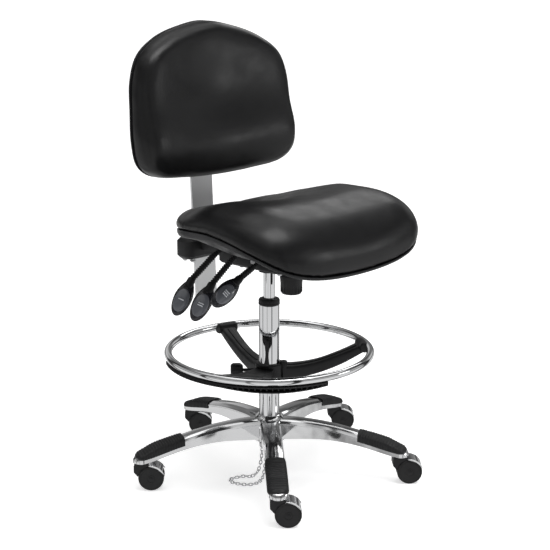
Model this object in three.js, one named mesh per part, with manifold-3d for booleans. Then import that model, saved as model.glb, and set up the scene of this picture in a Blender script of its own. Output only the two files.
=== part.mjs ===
// Drafting chair: padded seat and backrest on a gas lift, with a height-adjustable foot ring
// and a five-arm base on twin-wheel casters.
// Units are millimetres and +Z is up. The origin is on the floor, on the swivel axis.
// The seat faces -Y, so the sitter's right, where the levers are, is -X.

import * as THREE from "three";
import { mergeVertices } from "three/addons/utils/BufferGeometryUtils.js";
import Module from "manifold-3d";

const wasm = await Module();
wasm.setup();

// ---------------------------------------------------------------- driving dimensions

const GAP = 0.3; // running or resting gap between two pieces
const ROUND_SIDES = 24; // facets round the column and what slides on it

// Five-arm base. Its own frame is turned from the seat's by BASE_TURN, as on any swivel chair.
const BASE_TURN = -46;
const ARM_COUNT = 5;
const FIRST_ARM_ANGLE = -86.3;
const STEM_CIRCLE_RADIUS = 325;
const ARM_HALF_WIDTH = 21;
const HUB_BORE_RADIUS = 25.3;
// height of an arm's top ridge and of its underside, as [distance from the axis, height]
const ARM_RIDGE = [[20, 136], [75, 137], [150, 131], [220, 118], [290, 103], [325, 88], [346, 80]];
const ARM_UNDERSIDE = [[20, 86], [65, 91], [125, 96], [176, 95], [232, 87], [300, 71], [325, 66.4], [346, 66.4]];
const ARM_SHOULDER_DROP = 7;
const PAD_START_RADIUS = 224;
const PAD_THICKNESS = 2.4;
const PAD_RIM_HEIGHT = 11;
const PAD_TIP_REACH = 16;

// Casters
const WHEEL_RADIUS = 31;
const WHEEL_WIDTH = 13;
const WHEEL_SIDES = 16;
const WHEEL_AXLE_HEIGHT = WHEEL_RADIUS * Math.cos(Math.PI / WHEEL_SIDES);
const WEB_HALF_WIDTH = 6.5;
const CASTER_TRAIL = 22;
const CASTER_TRAIL_ANGLE = 1.5;
const CASTER_TOP = 65.6;
const STEM_RADIUS = 5.5;
const AXLE_RADIUS = 3;

// Gas lift
const COLUMN_RADIUS = 25;
const COLUMN_WALL = 2.4;
const COLUMN_BOTTOM = 57;
const COLUMN_TOP = 422;
const BUSH_TOP = 437;
const SPRING_RADIUS = 14;
const SPRING_BOTTOM = 225;
const SPRING_TOP = 545;
const ROD_RADIUS = 5;
const RELEASE_PIN_RADIUS = 4;

// Foot ring
const RING_HEIGHT = 306;
const RING_RADIUS = 244.5;
const RING_TUBE_RADIUS = 9.5;
const BRACKET_BOTTOM = 236;
const BRACKET_TOP = 276;
const BRACKET_ARM_ANGLES = [118, 13];
const TREAD_MIDDLE_ANGLE = 247;
const TREAD_HALF_ANGLE = 56;

// Mechanism under the seat
const HOUSING_HALF_WIDTH = 70;
const HOUSING_FRONT = -102;
const HOUSING_REAR = 112;
const HOUSING_BOTTOM = 520;
const HOUSING_TOP = 556;
const PIN_RADIUS = 5;
const SEAT_PIVOT = { y: -20.5, z: 546 };
const BACK_PIVOT = { y: 92, z: 538 };
const KNOB_FORWARD = 73;

// Seat: outline half width and depth, and the seam line between pan and cushion
const SEAT_HALF_WIDTH = 261;
const SEAT_REAR = 180;
const SEAT_FRONT = -289;
const SEAT_TAPER = 0.26;
const SEAT_SEAM = 611;
const SEAT_CROWN = 660;
const SEAT_PAN_BOTTOM = 570.4;

// Backrest
const BACK_LEAN = 2.5;
const BACK_BAR = { halfWidth: 35, thickness: 6, bottom: 395, top: 915, yAtBottom: 222 };
const BACK_MIDDLE = 900;

const degrees = THREE.MathUtils.degToRad;

// ---------------------------------------------------------------- finishes

const FINISHES = {
  polishedAluminium: { color: 0xc9cacc, roughness: 0.16, metalness: 1 },
  chrome: { color: 0xd8d9db, roughness: 0.06, metalness: 1 },
  brushedSteel: { color: 0xb9babc, roughness: 0.3, metalness: 1 },
  steel: { color: 0x8c8d90, roughness: 0.4, metalness: 1 },
  blackNylon: { color: 0x17181a, roughness: 0.55, metalness: 0 },
  blackGloss: { color: 0x111214, roughness: 0.25, metalness: 0 },
  wheelRubber: { color: 0x1b1b1c, roughness: 0.6, metalness: 0 },
  vinyl: { color: 0x0e0e0f, roughness: 0.32, metalness: 0 },
};

// ---------------------------------------------------------------- shape helpers

// Height at x along a smooth line through the given [x, height] points.
function heightAt(points, x) {
  const last = points.length - 1;
  if (x <= points[0][0]) return points[0][1];
  if (x >= points[last][0]) return points[last][1];
  const i = points.findIndex((p) => p[0] > x) - 1;
  const slope = (k) => {
    const a = points[Math.max(k - 1, 0)];
    const b = points[Math.min(k + 1, last)];
    return (b[1] - a[1]) / (b[0] - a[0]);
  };
  const [x0, y0] = points[i];
  const [x1, y1] = points[i + 1];
  const w = x1 - x0;
  const t = (x - x0) / w;
  const h = t * t * (3 - 2 * t);
  return y0 * (1 - h) + y1 * h + w * (t * (1 - t) ** 2 * slope(i) + t * t * (t - 1) * slope(i + 1));
}

// Turns a closed mesh right side out if its faces point inwards.
function outward(geometry) {
  const p = geometry.attributes.position;
  const index = geometry.index.array;
  const [a, b, c] = [new THREE.Vector3(), new THREE.Vector3(), new THREE.Vector3()];
  let volume = 0;
  for (let i = 0; i < index.length; i += 3) {
    a.fromBufferAttribute(p, index[i]);
    b.fromBufferAttribute(p, index[i + 1]);
    c.fromBufferAttribute(p, index[i + 2]);
    volume += a.dot(b.cross(c));
  }
  if (volume < 0) {
    for (let i = 0; i < index.length; i += 3) {
      [index[i + 1], index[i + 2]] = [index[i + 2], index[i + 1]];
    }
  }
  return geometry;
}

// Keeps positions only, with shared vertices merged.
function welded(geometry) {
  const bare = new THREE.BufferGeometry();
  bare.setAttribute("position", geometry.attributes.position.clone());
  if (geometry.index) bare.setIndex(geometry.index.clone());
  return outward(mergeVertices(bare, 1e-4));
}

function toSolid(geometry) {
  const g = welded(geometry);
  return new wasm.Manifold(new wasm.Mesh({
    numProp: 3,
    vertProperties: new Float32Array(g.attributes.position.array),
    triVerts: new Uint32Array(g.index.array),
  }));
}

function toGeometry(solid) {
  const mesh = solid.getMesh();
  const g = new THREE.BufferGeometry();
  g.setAttribute("position", new THREE.BufferAttribute(new Float32Array(mesh.vertProperties), 3));
  g.setIndex(Array.from(mesh.triVerts));
  return g;
}

function joined(...geometries) {
  return toGeometry(geometries.map(toSolid).reduce((a, b) => a.add(b)));
}

function cut(geometry, ...tools) {
  return toGeometry(tools.map(toSolid).reduce((a, b) => a.subtract(b), toSolid(geometry)));
}

// Closed body through rings that all have the same number of points.
function loft(rings) {
  const count = rings[0].length;
  const positions = [];
  for (const ring of rings) for (const p of ring) positions.push(p.x, p.y, p.z);
  for (const ring of [rings[0], rings[rings.length - 1]]) {
    const middle = ring.reduce((sum, p) => sum.add(p), new THREE.Vector3()).divideScalar(count);
    positions.push(middle.x, middle.y, middle.z);
  }
  const startCap = rings.length * count;
  const index = [];
  for (let k = 0; k < rings.length - 1; k++) {
    for (let i = 0; i < count; i++) {
      const j = (i + 1) % count;
      const [a, b] = [k * count + i, k * count + j];
      index.push(a, b, b + count, a, b + count, a + count);
    }
  }
  const lastRing = (rings.length - 1) * count;
  for (let i = 0; i < count; i++) {
    const j = (i + 1) % count;
    index.push(startCap, j, i, startCap + 1, lastRing + i, lastRing + j);
  }
  const g = new THREE.BufferGeometry();
  g.setAttribute("position", new THREE.Float32BufferAttribute(positions, 3));
  g.setIndex(index);
  return outward(g);
}

// Body turned about +Z from [radius, height] points. A hollow one closes on itself.
function turned(profile, sides = 32, hollow = false) {
  const points = profile.map(([r, h]) => new THREE.Vector2(r, h));
  if (hollow) points.push(points[0].clone());
  return new THREE.LatheGeometry(points, sides).rotateX(Math.PI / 2);
}

function tube(outer, inner, bottom, top, sides = 32) {
  return turned([[inner, bottom], [outer, bottom], [outer, top], [inner, top]], sides, true);
}

function rod(radius, bottom, top, sides = 24) {
  return turned([[0, bottom], [radius, bottom], [radius, top], [0, top]], sides);
}

// Box from its lowest to its highest corner.
function block(low, high) {
  const size = high.map((v, i) => v - low[i]);
  const middle = high.map((v, i) => (v + low[i]) / 2);
  return new THREE.BoxGeometry(...size).translate(...middle);
}

// Rounded rectangle plate between two heights.
function roundedPlate(x0, x1, y0, y1, radius, bottom, top, bevel = 0) {
  const s = new THREE.Shape();
  s.absarc(x1 - radius, y1 - radius, radius, 0, Math.PI / 2, false);
  s.absarc(x0 + radius, y1 - radius, radius, Math.PI / 2, Math.PI, false);
  s.absarc(x0 + radius, y0 + radius, radius, Math.PI, 1.5 * Math.PI, false);
  s.absarc(x1 - radius, y0 + radius, radius, 1.5 * Math.PI, 2 * Math.PI, false);
  return new THREE.ExtrudeGeometry(s, {
    depth: top - bottom - 2 * bevel,
    curveSegments: 3,
    bevelEnabled: bevel > 0,
    bevelThickness: bevel,
    bevelSize: bevel,
    bevelOffset: -bevel,
    bevelSegments: 1,
  }).translate(0, 0, bottom + bevel);
}

// Round bar along a smooth path.
function roundBar(points, radius, sides, steps) {
  const section = new THREE.Shape();
  for (let i = 0; i < sides; i++) {
    const a = (2 * Math.PI * i) / sides;
    const [x, y] = [radius * Math.cos(a), radius * Math.sin(a)];
    if (i === 0) section.moveTo(x, y);
    else section.lineTo(x, y);
  }
  section.closePath();
  const path = new THREE.CatmullRomCurve3(points.map((p) => new THREE.Vector3(...p)));
  return new THREE.ExtrudeGeometry(section, { steps, extrudePath: path });
}

const group = new THREE.Group();

function add(parent, name, geometry, finish) {
  const mesh = new THREE.Mesh(welded(geometry), new THREE.MeshStandardMaterial(FINISHES[finish]));
  mesh.name = name;
  parent.add(mesh);
  return mesh;
}

// ---------------------------------------------------------------- five-arm base

const base = new THREE.Group();
base.rotation.z = degrees(BASE_TURN);
group.add(base);

// Rings of an arm that lies along +X and ends in a half round. A positive offset grows it.
function armRings(from, offset, bottomLift = 0, tipReach = ARM_HALF_WIDTH + offset) {
  const straight = [20, 60, 105, 150, 190, PAD_START_RADIUS, 260, 295].filter((r) => r >= from);
  const stations = straight.map((r) => ({ r, w: ARM_HALF_WIDTH + 2.5 * (1 - Math.min(r, 240) / 240) + offset }));
  for (const a of [0, 33, 62, 87]) {
    const round = ARM_HALF_WIDTH + offset;
    stations.push({
      r: STEM_CIRCLE_RADIUS + tipReach * Math.sin(degrees(a)),
      w: round * Math.cos(degrees(a)),
    });
  }
  return stations.map(({ r, w }) => {
    const top = heightAt(ARM_RIDGE, r) + offset;
    const bottom = heightAt(ARM_UNDERSIDE, r) + bottomLift;
    const shoulder = top - ARM_SHOULDER_DROP;
    const half = [[w, bottom], [w, shoulder], [w * 0.86, top - 2.4], [w * 0.45, top]];
    const ring = half.concat(half.map(([y, z]) => [-y, z]).reverse());
    return ring.map(([y, z]) => new THREE.Vector3(r, y, z));
  });
}

// The hollow under an arm, which leaves walls of about 4.5 mm.
function armHollow() {
  const rings = [62, 110, 165, 220, 285].map((r) => {
    const w = ARM_HALF_WIDTH - 4.5;
    const bottom = heightAt(ARM_UNDERSIDE, r) - 8;
    const top = heightAt(ARM_RIDGE, r) - ARM_SHOULDER_DROP - 4;
    return [[w, bottom], [w, top], [-w, top], [-w, bottom]].map(([y, z]) => new THREE.Vector3(r, y, z));
  });
  return loft(rings);
}

function armAngle(i) {
  return degrees(FIRST_ARM_ANGLE + (i * 360) / ARM_COUNT);
}

function starBase() {
  const hub = tube(42, HUB_BORE_RADIUS, 82, 120, ROUND_SIDES);
  const shoulder = turned([[HUB_BORE_RADIUS, 119], [42, 119], [40, 130], [33, 141], [HUB_BORE_RADIUS, 145]], ROUND_SIDES, true);
  let solid = toSolid(hub).add(toSolid(shoulder));
  for (let i = 0; i < ARM_COUNT; i++) {
    const arm = toSolid(loft(armRings(0, 0)));
    const socket = toSolid(rod(STEM_RADIUS + GAP, 60, 84, 10).translate(STEM_CIRCLE_RADIUS, 0, 0));
    const finished = arm.subtract(toSolid(armHollow())).subtract(socket);
    solid = solid.add(finished.rotate([0, 0, (armAngle(i) * 180) / Math.PI]));
  }
  const bore = toSolid(rod(HUB_BORE_RADIUS, 60, 160, ROUND_SIDES));
  return toGeometry(solid.subtract(bore));
}
add(base, "star_base", starBase(), "polishedAluminium");

// Ribbed grip pad that caps the outer part of an arm and leaves the rim of its tip bare.
function armPad() {
  const outer = loft(armRings(PAD_START_RADIUS, PAD_THICKNESS, PAD_RIM_HEIGHT, PAD_TIP_REACH));
  const inner = loft(armRings(PAD_START_RADIUS - 50, GAP, -20));
  return cut(outer, inner);
}
for (let i = 0; i < ARM_COUNT; i++) {
  const pad = add(base, `arm_pad_${i + 1}`, armPad(), "blackNylon");
  pad.rotation.z = armAngle(i);
}

// ---------------------------------------------------------------- casters

// Extruded side view of a caster piece: the wheel axle is at [CASTER_TRAIL, WHEEL_AXLE_HEIGHT].
function casterSlab(shape, halfWidth) {
  const options = { depth: 2 * halfWidth, bevelEnabled: false, curveSegments: 4 };
  return new THREE.ExtrudeGeometry(shape, options).translate(0, 0, -halfWidth).rotateX(Math.PI / 2);
}

// A hood, moulded in one with the housing, arches over both wheels behind the stem.
const HOOD_INNER = WHEEL_RADIUS + 1.2;
const HOOD_OUTER = WHEEL_RADIUS + 3.2;
const [HOOD_START, HOOD_END] = [degrees(36), degrees(103)];

function casterHousing() {
  const [cx, cz] = [CASTER_TRAIL, WHEEL_AXLE_HEIGHT];
  const front = new THREE.Shape();
  front.moveTo(-18.5, 46);
  front.lineTo(-18.5, CASTER_TOP - 2);
  front.lineTo(-16.5, CASTER_TOP);
  front.lineTo(cx + HOOD_OUTER * Math.cos(HOOD_END), CASTER_TOP);
  front.absarc(cx, cz, HOOD_INNER, HOOD_END - degrees(2), degrees(172), false);
  front.closePath();
  const web = new THREE.Shape();
  web.absarc(cx, cz, HOOD_INNER + 1, degrees(37), degrees(165), false);
  web.absarc(cx, cz, 23, degrees(165), degrees(397), false);
  web.closePath();
  const hood = new THREE.Shape();
  hood.absarc(cx, cz, HOOD_OUTER, HOOD_START, HOOD_END, false);
  hood.absarc(cx, cz, HOOD_INNER, HOOD_END, HOOD_START, true);
  hood.closePath();
  const body = joined(casterSlab(front, 18), casterSlab(web, WEB_HALF_WIDTH), casterSlab(hood, 19.5));
  const stemHole = rod(STEM_RADIUS + GAP, 36, CASTER_TOP + 5, 10);
  const axleHole = rod(AXLE_RADIUS + GAP, -30, 30, 8).rotateX(Math.PI / 2).translate(cx, 0, cz);
  return cut(body, stemHole, axleHole);
}

function casterWheel(side) {
  const [bore, r, w] = [AXLE_RADIUS + GAP, WHEEL_RADIUS, WHEEL_WIDTH];
  const profile = [[bore, 0], [r, 0], [r, w - 4], [r - 3, w], [bore, w]];
  const wheel = turned(profile, WHEEL_SIDES, true);
  wheel.rotateZ(Math.PI / WHEEL_SIDES + Math.PI / 2);
  const inside = WEB_HALF_WIDTH + 2 * GAP;
  wheel.rotateX(side > 0 ? -Math.PI / 2 : Math.PI / 2);
  return wheel.translate(CASTER_TRAIL, side * inside, WHEEL_AXLE_HEIGHT);
}

function stemPosition(i) {
  const a = armAngle(i);
  return [STEM_CIRCLE_RADIUS * Math.cos(a), STEM_CIRCLE_RADIUS * Math.sin(a)];
}

function addCaster(i) {
  const caster = new THREE.Group();
  caster.position.set(...stemPosition(i), 0);
  caster.rotation.z = degrees(CASTER_TRAIL_ANGLE);
  base.add(caster);
  const n = i + 1;
  const axle = rod(AXLE_RADIUS, -19, 19, 8).rotateX(Math.PI / 2);
  add(caster, `caster_housing_${n}`, casterHousing(), "blackNylon");
  add(caster, `caster_axle_${n}`, axle.translate(CASTER_TRAIL, 0, WHEEL_AXLE_HEIGHT), "steel");
  add(caster, `caster_wheel_${n}_near`, casterWheel(-1), "wheelRubber");
  add(caster, `caster_wheel_${n}_far`, casterWheel(1), "wheelRubber");
}
for (let i = 0; i < ARM_COUNT; i++) {
  addCaster(i);
  const stem = rod(STEM_RADIUS, 38, 83.5, 10).translate(...stemPosition(i), 0);
  add(base, `caster_stem_${i + 1}`, stem, "steel");
}

// ---------------------------------------------------------------- gas lift

function addColumn() {
  const inner = COLUMN_RADIUS - COLUMN_WALL;
  const wall = [
    [ROD_RADIUS + GAP, COLUMN_BOTTOM], [COLUMN_RADIUS - 3, COLUMN_BOTTOM], [COLUMN_RADIUS, COLUMN_BOTTOM + 4],
    [COLUMN_RADIUS, COLUMN_TOP], [inner, COLUMN_TOP], [inner, COLUMN_BOTTOM + 5],
    [ROD_RADIUS + GAP, COLUMN_BOTTOM + 5],
  ];
  add(group, "column_tube", turned(wall, ROUND_SIDES, true), "chrome");
  const bore = SPRING_RADIUS + GAP;
  const bush = [
    [bore, 340], [inner - GAP, 340], [inner - GAP, COLUMN_TOP + GAP], [COLUMN_RADIUS + 0.6, COLUMN_TOP + GAP],
    [COLUMN_RADIUS + 0.6, BUSH_TOP - 4], [COLUMN_RADIUS - 3, BUSH_TOP], [bore, BUSH_TOP],
  ];
  add(group, "column_bush", turned(bush, ROUND_SIDES, true), "blackNylon");
  const spring = [
    [ROD_RADIUS + 1, SPRING_BOTTOM], [SPRING_RADIUS, SPRING_BOTTOM], [SPRING_RADIUS, SPRING_TOP],
    [RELEASE_PIN_RADIUS + GAP, SPRING_TOP], [RELEASE_PIN_RADIUS + GAP, SPRING_TOP - 6], [0, SPRING_TOP - 6],
    [0, SPRING_TOP - 20], [ROD_RADIUS + 1, SPRING_TOP - 20],
  ];
  add(group, "gas_spring", turned(spring.concat([spring[0]]), ROUND_SIDES), "chrome");
  const piston = [
    [0, COLUMN_BOTTOM - 5], [12, COLUMN_BOTTOM - 5], [12, COLUMN_BOTTOM - GAP], [ROD_RADIUS, COLUMN_BOTTOM - GAP],
    [ROD_RADIUS, 405], [0, 405],
  ];
  add(group, "piston_rod", turned(piston, 16), "steel");
}
addColumn();

// ---------------------------------------------------------------- foot ring

const footring = new THREE.Group();
footring.rotation.z = degrees(BASE_TURN);
group.add(footring);

function ringTorus(tubeRadius) {
  return new THREE.TorusGeometry(RING_RADIUS, tubeRadius, 8, 40).translate(0, 0, RING_HEIGHT);
}

// Clamp that holds the ring from inside and below, at the end of a bracket arm lying along +X.
function ringClamp() {
  const rings = [-6.5, -5.6, 0, 5.6, 6.5].map((a) => {
    const radius = Math.abs(a) > 6 ? RING_TUBE_RADIUS + 2 : RING_TUBE_RADIUS + 3.5;
    return Array.from({ length: 10 }, (_, k) => {
      const t = (2 * Math.PI * k) / 10;
      const r = RING_RADIUS - 8 + radius * Math.cos(t);
      return new THREE.Vector3(r * Math.cos(degrees(a)), r * Math.sin(degrees(a)), RING_HEIGHT - 3 + radius * Math.sin(t));
    });
  });
  return loft(rings);
}

// Arm of the bracket along +X: deep at the hub, slimmer and higher at the ring.
function bracketArm() {
  const stations = [[24, 25, 238, 270], [60, 22, 235, 267], [120, 18, 243, 273], [180, 18, 262, 290], [232, 21, 288, 309]];
  return loft(stations.map(([r, w, bottom, top]) => {
    const half = [[w - 3, bottom], [w, bottom + 6], [w, top - 7], [w - 5, top]];
    return half.concat(half.map(([y, z]) => [-y, z]).reverse()).map(([y, z]) => new THREE.Vector3(r, y, z));
  }));
}

// Third arm, which spreads into a crescent tread under the ring.
function tread() {
  const top = RING_HEIGHT - RING_TUBE_RADIUS - 0.5;
  const stations = [
    [22, 60, 240, 266], [60, 26, 242, 268], [115, 16, 254, 276], [170, 17, 270, 287], [205, 24, 280, 293],
    [225, 48, 285, top - 1], [232, TREAD_HALF_ANGLE, 286, top], [248, TREAD_HALF_ANGLE, 286, top],
    [252, TREAD_HALF_ANGLE - 1, 288, top - 3],
  ];
  const steps = 8;
  return loft(stations.map(([r, half, low, high]) => {
    const ring = [];
    for (let k = 0; k <= steps; k++) {
      const a = half * (1 - (2 * k) / steps);
      ring.push([r, a, high]);
    }
    for (let k = steps; k >= 0; k--) {
      const a = half * (1 - (2 * k) / steps);
      const belly = a > 18 && r > 200 ? 6 : 0;
      ring.push([r, a, low - belly]);
    }
    return ring.map(([radius, a, z]) => {
      const t = degrees(TREAD_MIDDLE_ANGLE + a);
      return new THREE.Vector3(radius * Math.cos(t), radius * Math.sin(t), z);
    });
  }));
}

const FOOT_KNOB_ANGLE = degrees(184);

function footringBracket() {
  const pieces = [tube(34, COLUMN_RADIUS + GAP, BRACKET_BOTTOM, BRACKET_TOP, ROUND_SIDES), tread()];
  pieces.push(rod(9, BRACKET_TOP - 20, BRACKET_TOP + 6, 12).translate(33, -8, 0));
  for (const angle of BRACKET_ARM_ANGLES) {
    pieces.push(bracketArm().rotateZ(degrees(angle)), ringClamp().rotateZ(degrees(angle)));
  }
  const stud = rod(4 + GAP, 20, 60, 10).rotateY(Math.PI / 2).rotateZ(FOOT_KNOB_ANGLE).translate(0, 0, 257);
  return cut(joined(...pieces), ringTorus(RING_TUBE_RADIUS + GAP), rod(COLUMN_RADIUS + GAP, 200, 320, ROUND_SIDES), stud);
}

function footringKnob() {
  const profile = [[0, 27.5], [4, 27.5], [4, 64], [12, 64], [17, 70], [17, 90], [13, 94], [0, 94]];
  return turned(profile, 16).rotateY(Math.PI / 2).rotateZ(FOOT_KNOB_ANGLE).translate(0, 0, 257);
}
add(footring, "footring_tube", ringTorus(RING_TUBE_RADIUS), "chrome");
add(footring, "footring_bracket", footringBracket(), "blackNylon");
add(footring, "footring_knob", footringKnob(), "blackNylon");

// ---------------------------------------------------------------- mechanism

function pinAt(pivot, halfLength, radius = PIN_RADIUS) {
  return rod(radius, -halfLength, halfLength, 12).rotateY(Math.PI / 2).translate(0, pivot.y, pivot.z);
}

function mechanismHousing() {
  const w = HOUSING_HALF_WIDTH;
  const box = roundedPlate(-w, w, HOUSING_FRONT, HOUSING_REAR, 22, HOUSING_BOTTOM, HOUSING_TOP, 5);
  const boss = rod(25, 503, HOUSING_BOTTOM + 4, 20);
  const knobBoss = rod(16, 512, HOUSING_BOTTOM + 4, 16).translate(0, -KNOB_FORWARD, 0);
  const rearPocket = block([-32, 76, 500], [32, 130, 580]);
  const springSocket = rod(SPRING_RADIUS + GAP, 490, SPRING_TOP + GAP, ROUND_SIDES);
  const releaseBore = rod(RELEASE_PIN_RADIUS + GAP, 540, 570, ROUND_SIDES);
  const knobBore = rod(4 + GAP, 500, 541, 10).translate(0, -KNOB_FORWARD, 0);
  return cut(
    joined(box, boss, knobBoss), springSocket, releaseBore, knobBore, rearPocket,
    pinAt(SEAT_PIVOT, 90, PIN_RADIUS + GAP), pinAt(BACK_PIVOT, 60, PIN_RADIUS + GAP),
  );
}
add(group, "mechanism_housing", mechanismHousing(), "blackNylon");
add(group, "seat_pivot_pin", pinAt(SEAT_PIVOT, 78), "steel");
add(group, "back_pivot_pin", pinAt(BACK_PIVOT, 48), "steel");

// Pin at the top of the gas spring, which the height lever presses to open its valve.
add(group, "gas_release_pin", rod(RELEASE_PIN_RADIUS, SPRING_TOP - 3, 553, ROUND_SIDES), "steel");

function tensionKnob() {
  const profile = [[0, 461], [20, 461], [24, 464], [28, 506], [25, 509], [4, 509], [4, 540], [0, 540]];
  return turned(profile, 20).translate(0, -KNOB_FORWARD, 0);
}
add(group, "tension_knob", tensionKnob(), "blackNylon");

// Saddle plate: carries the seat, with two ears that turn on the pin through the housing.
function seatPlate() {
  const plate = roundedPlate(-95, 95, -90, 100, 14, 566, 570);
  const ears = [-1, 1].map((side) => {
    const x = side * (HOUSING_HALF_WIDTH + 3.2);
    return block([x - 2.5, SEAT_PIVOT.y - 7.5, 536], [x + 2.5, SEAT_PIVOT.y + 7.5, 567]);
  });
  return cut(joined(plate, ...ears), pinAt(SEAT_PIVOT, 90, PIN_RADIUS + GAP));
}
add(group, "seat_plate", seatPlate(), "steel");

// ---------------------------------------------------------------- back support

// Y of the bar's middle at a height: it leans back a little.
function barY(z) {
  return BACK_BAR.yAtBottom + (z - BACK_BAR.bottom) * Math.tan(degrees(BACK_LEAN));
}

function barLoft(grow, bottom, top) {
  const w = BACK_BAR.halfWidth + grow;
  const t = BACK_BAR.thickness / 2 + grow;
  return loft([bottom, top].map((z) => {
    const y = barY(z);
    const corners = [[w, y - t], [w, y + t], [-w, y + t], [-w, y - t]];
    return corners.map(([x, yy]) => new THREE.Vector3(x, yy, z));
  }));
}

// Arm from the mechanism to the bracket that grips the bar.
const BRACKET = { halfWidth: 72, front: 203, rear: 260, bottom: 507, top: 559 };
const LOCK_KNOB_HEIGHT = 530;

function backArm() {
  const { y, z } = BACK_PIVOT;
  const { halfWidth, front, rear, bottom, top } = BRACKET;
  const arm = block([-31, y - 9, z - 9], [31, front + 6, z + 9]);
  const bracket = roundedPlate(-halfWidth, halfWidth, front, rear, 19, bottom, top, 8);
  const stud = rod(4 + GAP, 0, 50, 10).rotateX(-Math.PI / 2).translate(0, barY(LOCK_KNOB_HEIGHT), LOCK_KNOB_HEIGHT);
  return cut(joined(arm, bracket), pinAt(BACK_PIVOT, 60, PIN_RADIUS + GAP), barLoft(GAP, 480, 580), stud);
}
add(group, "back_arm", backArm(), "blackNylon");

// Knob behind the bracket: its stud presses on the bar.
function backLockKnob() {
  const start = barY(LOCK_KNOB_HEIGHT) + BACK_BAR.thickness / 2 + 2 * GAP;
  const face = BRACKET.rear - start;
  const profile = [
    [0, 0], [4, 0], [4, face + 1], [15, face + 1], [21, face + 6], [21, face + 18], [17, face + 22], [0, face + 23],
  ];
  return turned(profile, 20).rotateX(-Math.PI / 2).translate(0, start, LOCK_KNOB_HEIGHT);
}
add(group, "back_lock_knob", backLockKnob(), "blackNylon");
add(group, "back_bar", barLoft(0, BACK_BAR.bottom, BACK_BAR.top), "brushedSteel");

// ---------------------------------------------------------------- seat

// Point of the seat's outline at angle t, scaled about the outline's middle.
function seatOutline(t, scale) {
  const middle = (SEAT_REAR + SEAT_FRONT) / 2;
  const halfDepth = (SEAT_REAR - SEAT_FRONT) / 2;
  const [c, s] = [Math.cos(t), Math.sin(t)];
  const power = 2 / (4.4 - 2.2 * (s + 1) / 2);
  const y = halfDepth * Math.sign(s) * Math.abs(s) ** power;
  const x = SEAT_HALF_WIDTH * Math.sign(c) * Math.abs(c) ** power * (1 - (SEAT_TAPER * y) / 450);
  return [x * scale, middle + y * scale];
}

// The seam: raised at the sides and falling away at the front edge.
function seamHeight(x, y) {
  const drop = 116 * Math.max(0, -y / 350) ** 2.5;
  return SEAT_SEAM - 0.038 * y - drop + 26 * Math.min(1, Math.abs(x) / SEAT_HALF_WIDTH) ** 2;
}

// The padded top: it rises towards the front and the sides, with a bowl at the rear and a
// rounded front edge.
function crownHeight(x, y) {
  const rise = Math.min(1, Math.max(0.12, (130 - y) / 180));
  const side = Math.min(1, Math.abs(x) / 200) ** 2;
  const dome = 40 * (0.82 + 0.18 * side) - 8 * Math.max(0, Math.abs(x) / 100 - 1.4) ** 2;
  const corner = 6 * side * Math.min(1, Math.max(0, (y - 40) / 80));
  const front = 35 * Math.max(0, (-y - 130) / 150) ** 2;
  const bowl = 30 * Math.exp(-((x / 105) ** 2) - ((y - 60) / 112) ** 2);
  return SEAT_CROWN + dome * rise + corner - front - bowl;
}

const SEAT_SIDES = 32;

function seatRing(scale, height) {
  return Array.from({ length: SEAT_SIDES }, (_, k) => {
    const t = (2 * Math.PI * k) / SEAT_SIDES;
    const [x, y] = seatOutline(t, scale);
    return new THREE.Vector3(x, y, height(x, y, seamHeight(...seatOutline(t, 1))));
  });
}

function seatCushion() {
  // [scale, share of the way from the seam to the crown]
  const rings = [
    [0.2, 0], [0.97, 0], [1, 0.1], [1.008, 0.34], [0.992, 0.62], [0.945, 0.86], [0.86, 0.98], [0.66, 1], [0.4, 1],
    [0.15, 1],
  ];
  return loft(rings.map(([scale, share]) => seatRing(scale, (x, y, seam) => {
    if (scale < 0.9 && share === 0) return SEAT_SEAM;
    return (seam + 0.6) * (1 - share) + crownHeight(x, y) * share;
  })));
}

// Moulded pan under the cushion: a lip along the seam and a flat middle on the seat plate.
function seatShell() {
  // [scale, depth below the seam]
  const lip = [[0.97, 0], [0.988, 1], [0.99, 6], [0.95, 15], [0.86, 24]];
  const rings = [seatRing(0.2, () => SEAT_SEAM - 1)];
  for (const [scale, depth] of lip) {
    rings.push(seatRing(scale, (x, y, seam) => seam - depth * (1 - 0.55 * Math.min(1, Math.max(0, -y / 280)))));
  }
  rings.push(seatRing(0.58, () => SEAT_PAN_BOTTOM), seatRing(0.2, () => SEAT_PAN_BOTTOM));
  return loft(rings);
}
add(group, "seat_shell", seatShell(), "blackNylon");
add(group, "seat_cushion", seatCushion(), "vinyl");

// ---------------------------------------------------------------- backrest

// Half of the backrest's outline from its top middle to its bottom middle, about its centre.
const BACK_OUTLINE = [
  [0, 186], [70, 176], [154, 151], [217, 109], [242, 53], [247, -18], [250, -90], [240, -140], [205, -167],
  [110, -180], [0, -185],
];
const BACK_SIDES = 36;

function backOutline(scale) {
  const half = BACK_OUTLINE.map(([x, z]) => new THREE.Vector3(x, z, 0));
  const mirrored = half.slice(1, -1).map((p) => new THREE.Vector3(-p.x, p.y, 0)).reverse();
  const curve = new THREE.CatmullRomCurve3(half.concat(mirrored), true, "centripetal");
  return curve.getSpacedPoints(BACK_SIDES).slice(0, BACK_SIDES).map((p) => [p.x * scale, p.y * scale]);
}

// Where the backrest's rear face is: bent forward at the sides and at the bottom.
function backRear(x, z) {
  const lean = Math.tan(degrees(BACK_LEAN)) * z;
  const bend = 17 * (x / 235) ** 2 + 10 * (Math.min(z, 0) / 185) ** 2;
  return barY(BACK_MIDDLE) - BACK_BAR.thickness / 2 - 1 + lean - bend;
}

function backRing(scale, forward) {
  return backOutline(scale).map(([x, z]) => {
    return new THREE.Vector3(x, backRear(x, z) - forward(x, z), BACK_MIDDLE + z);
  });
}

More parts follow.
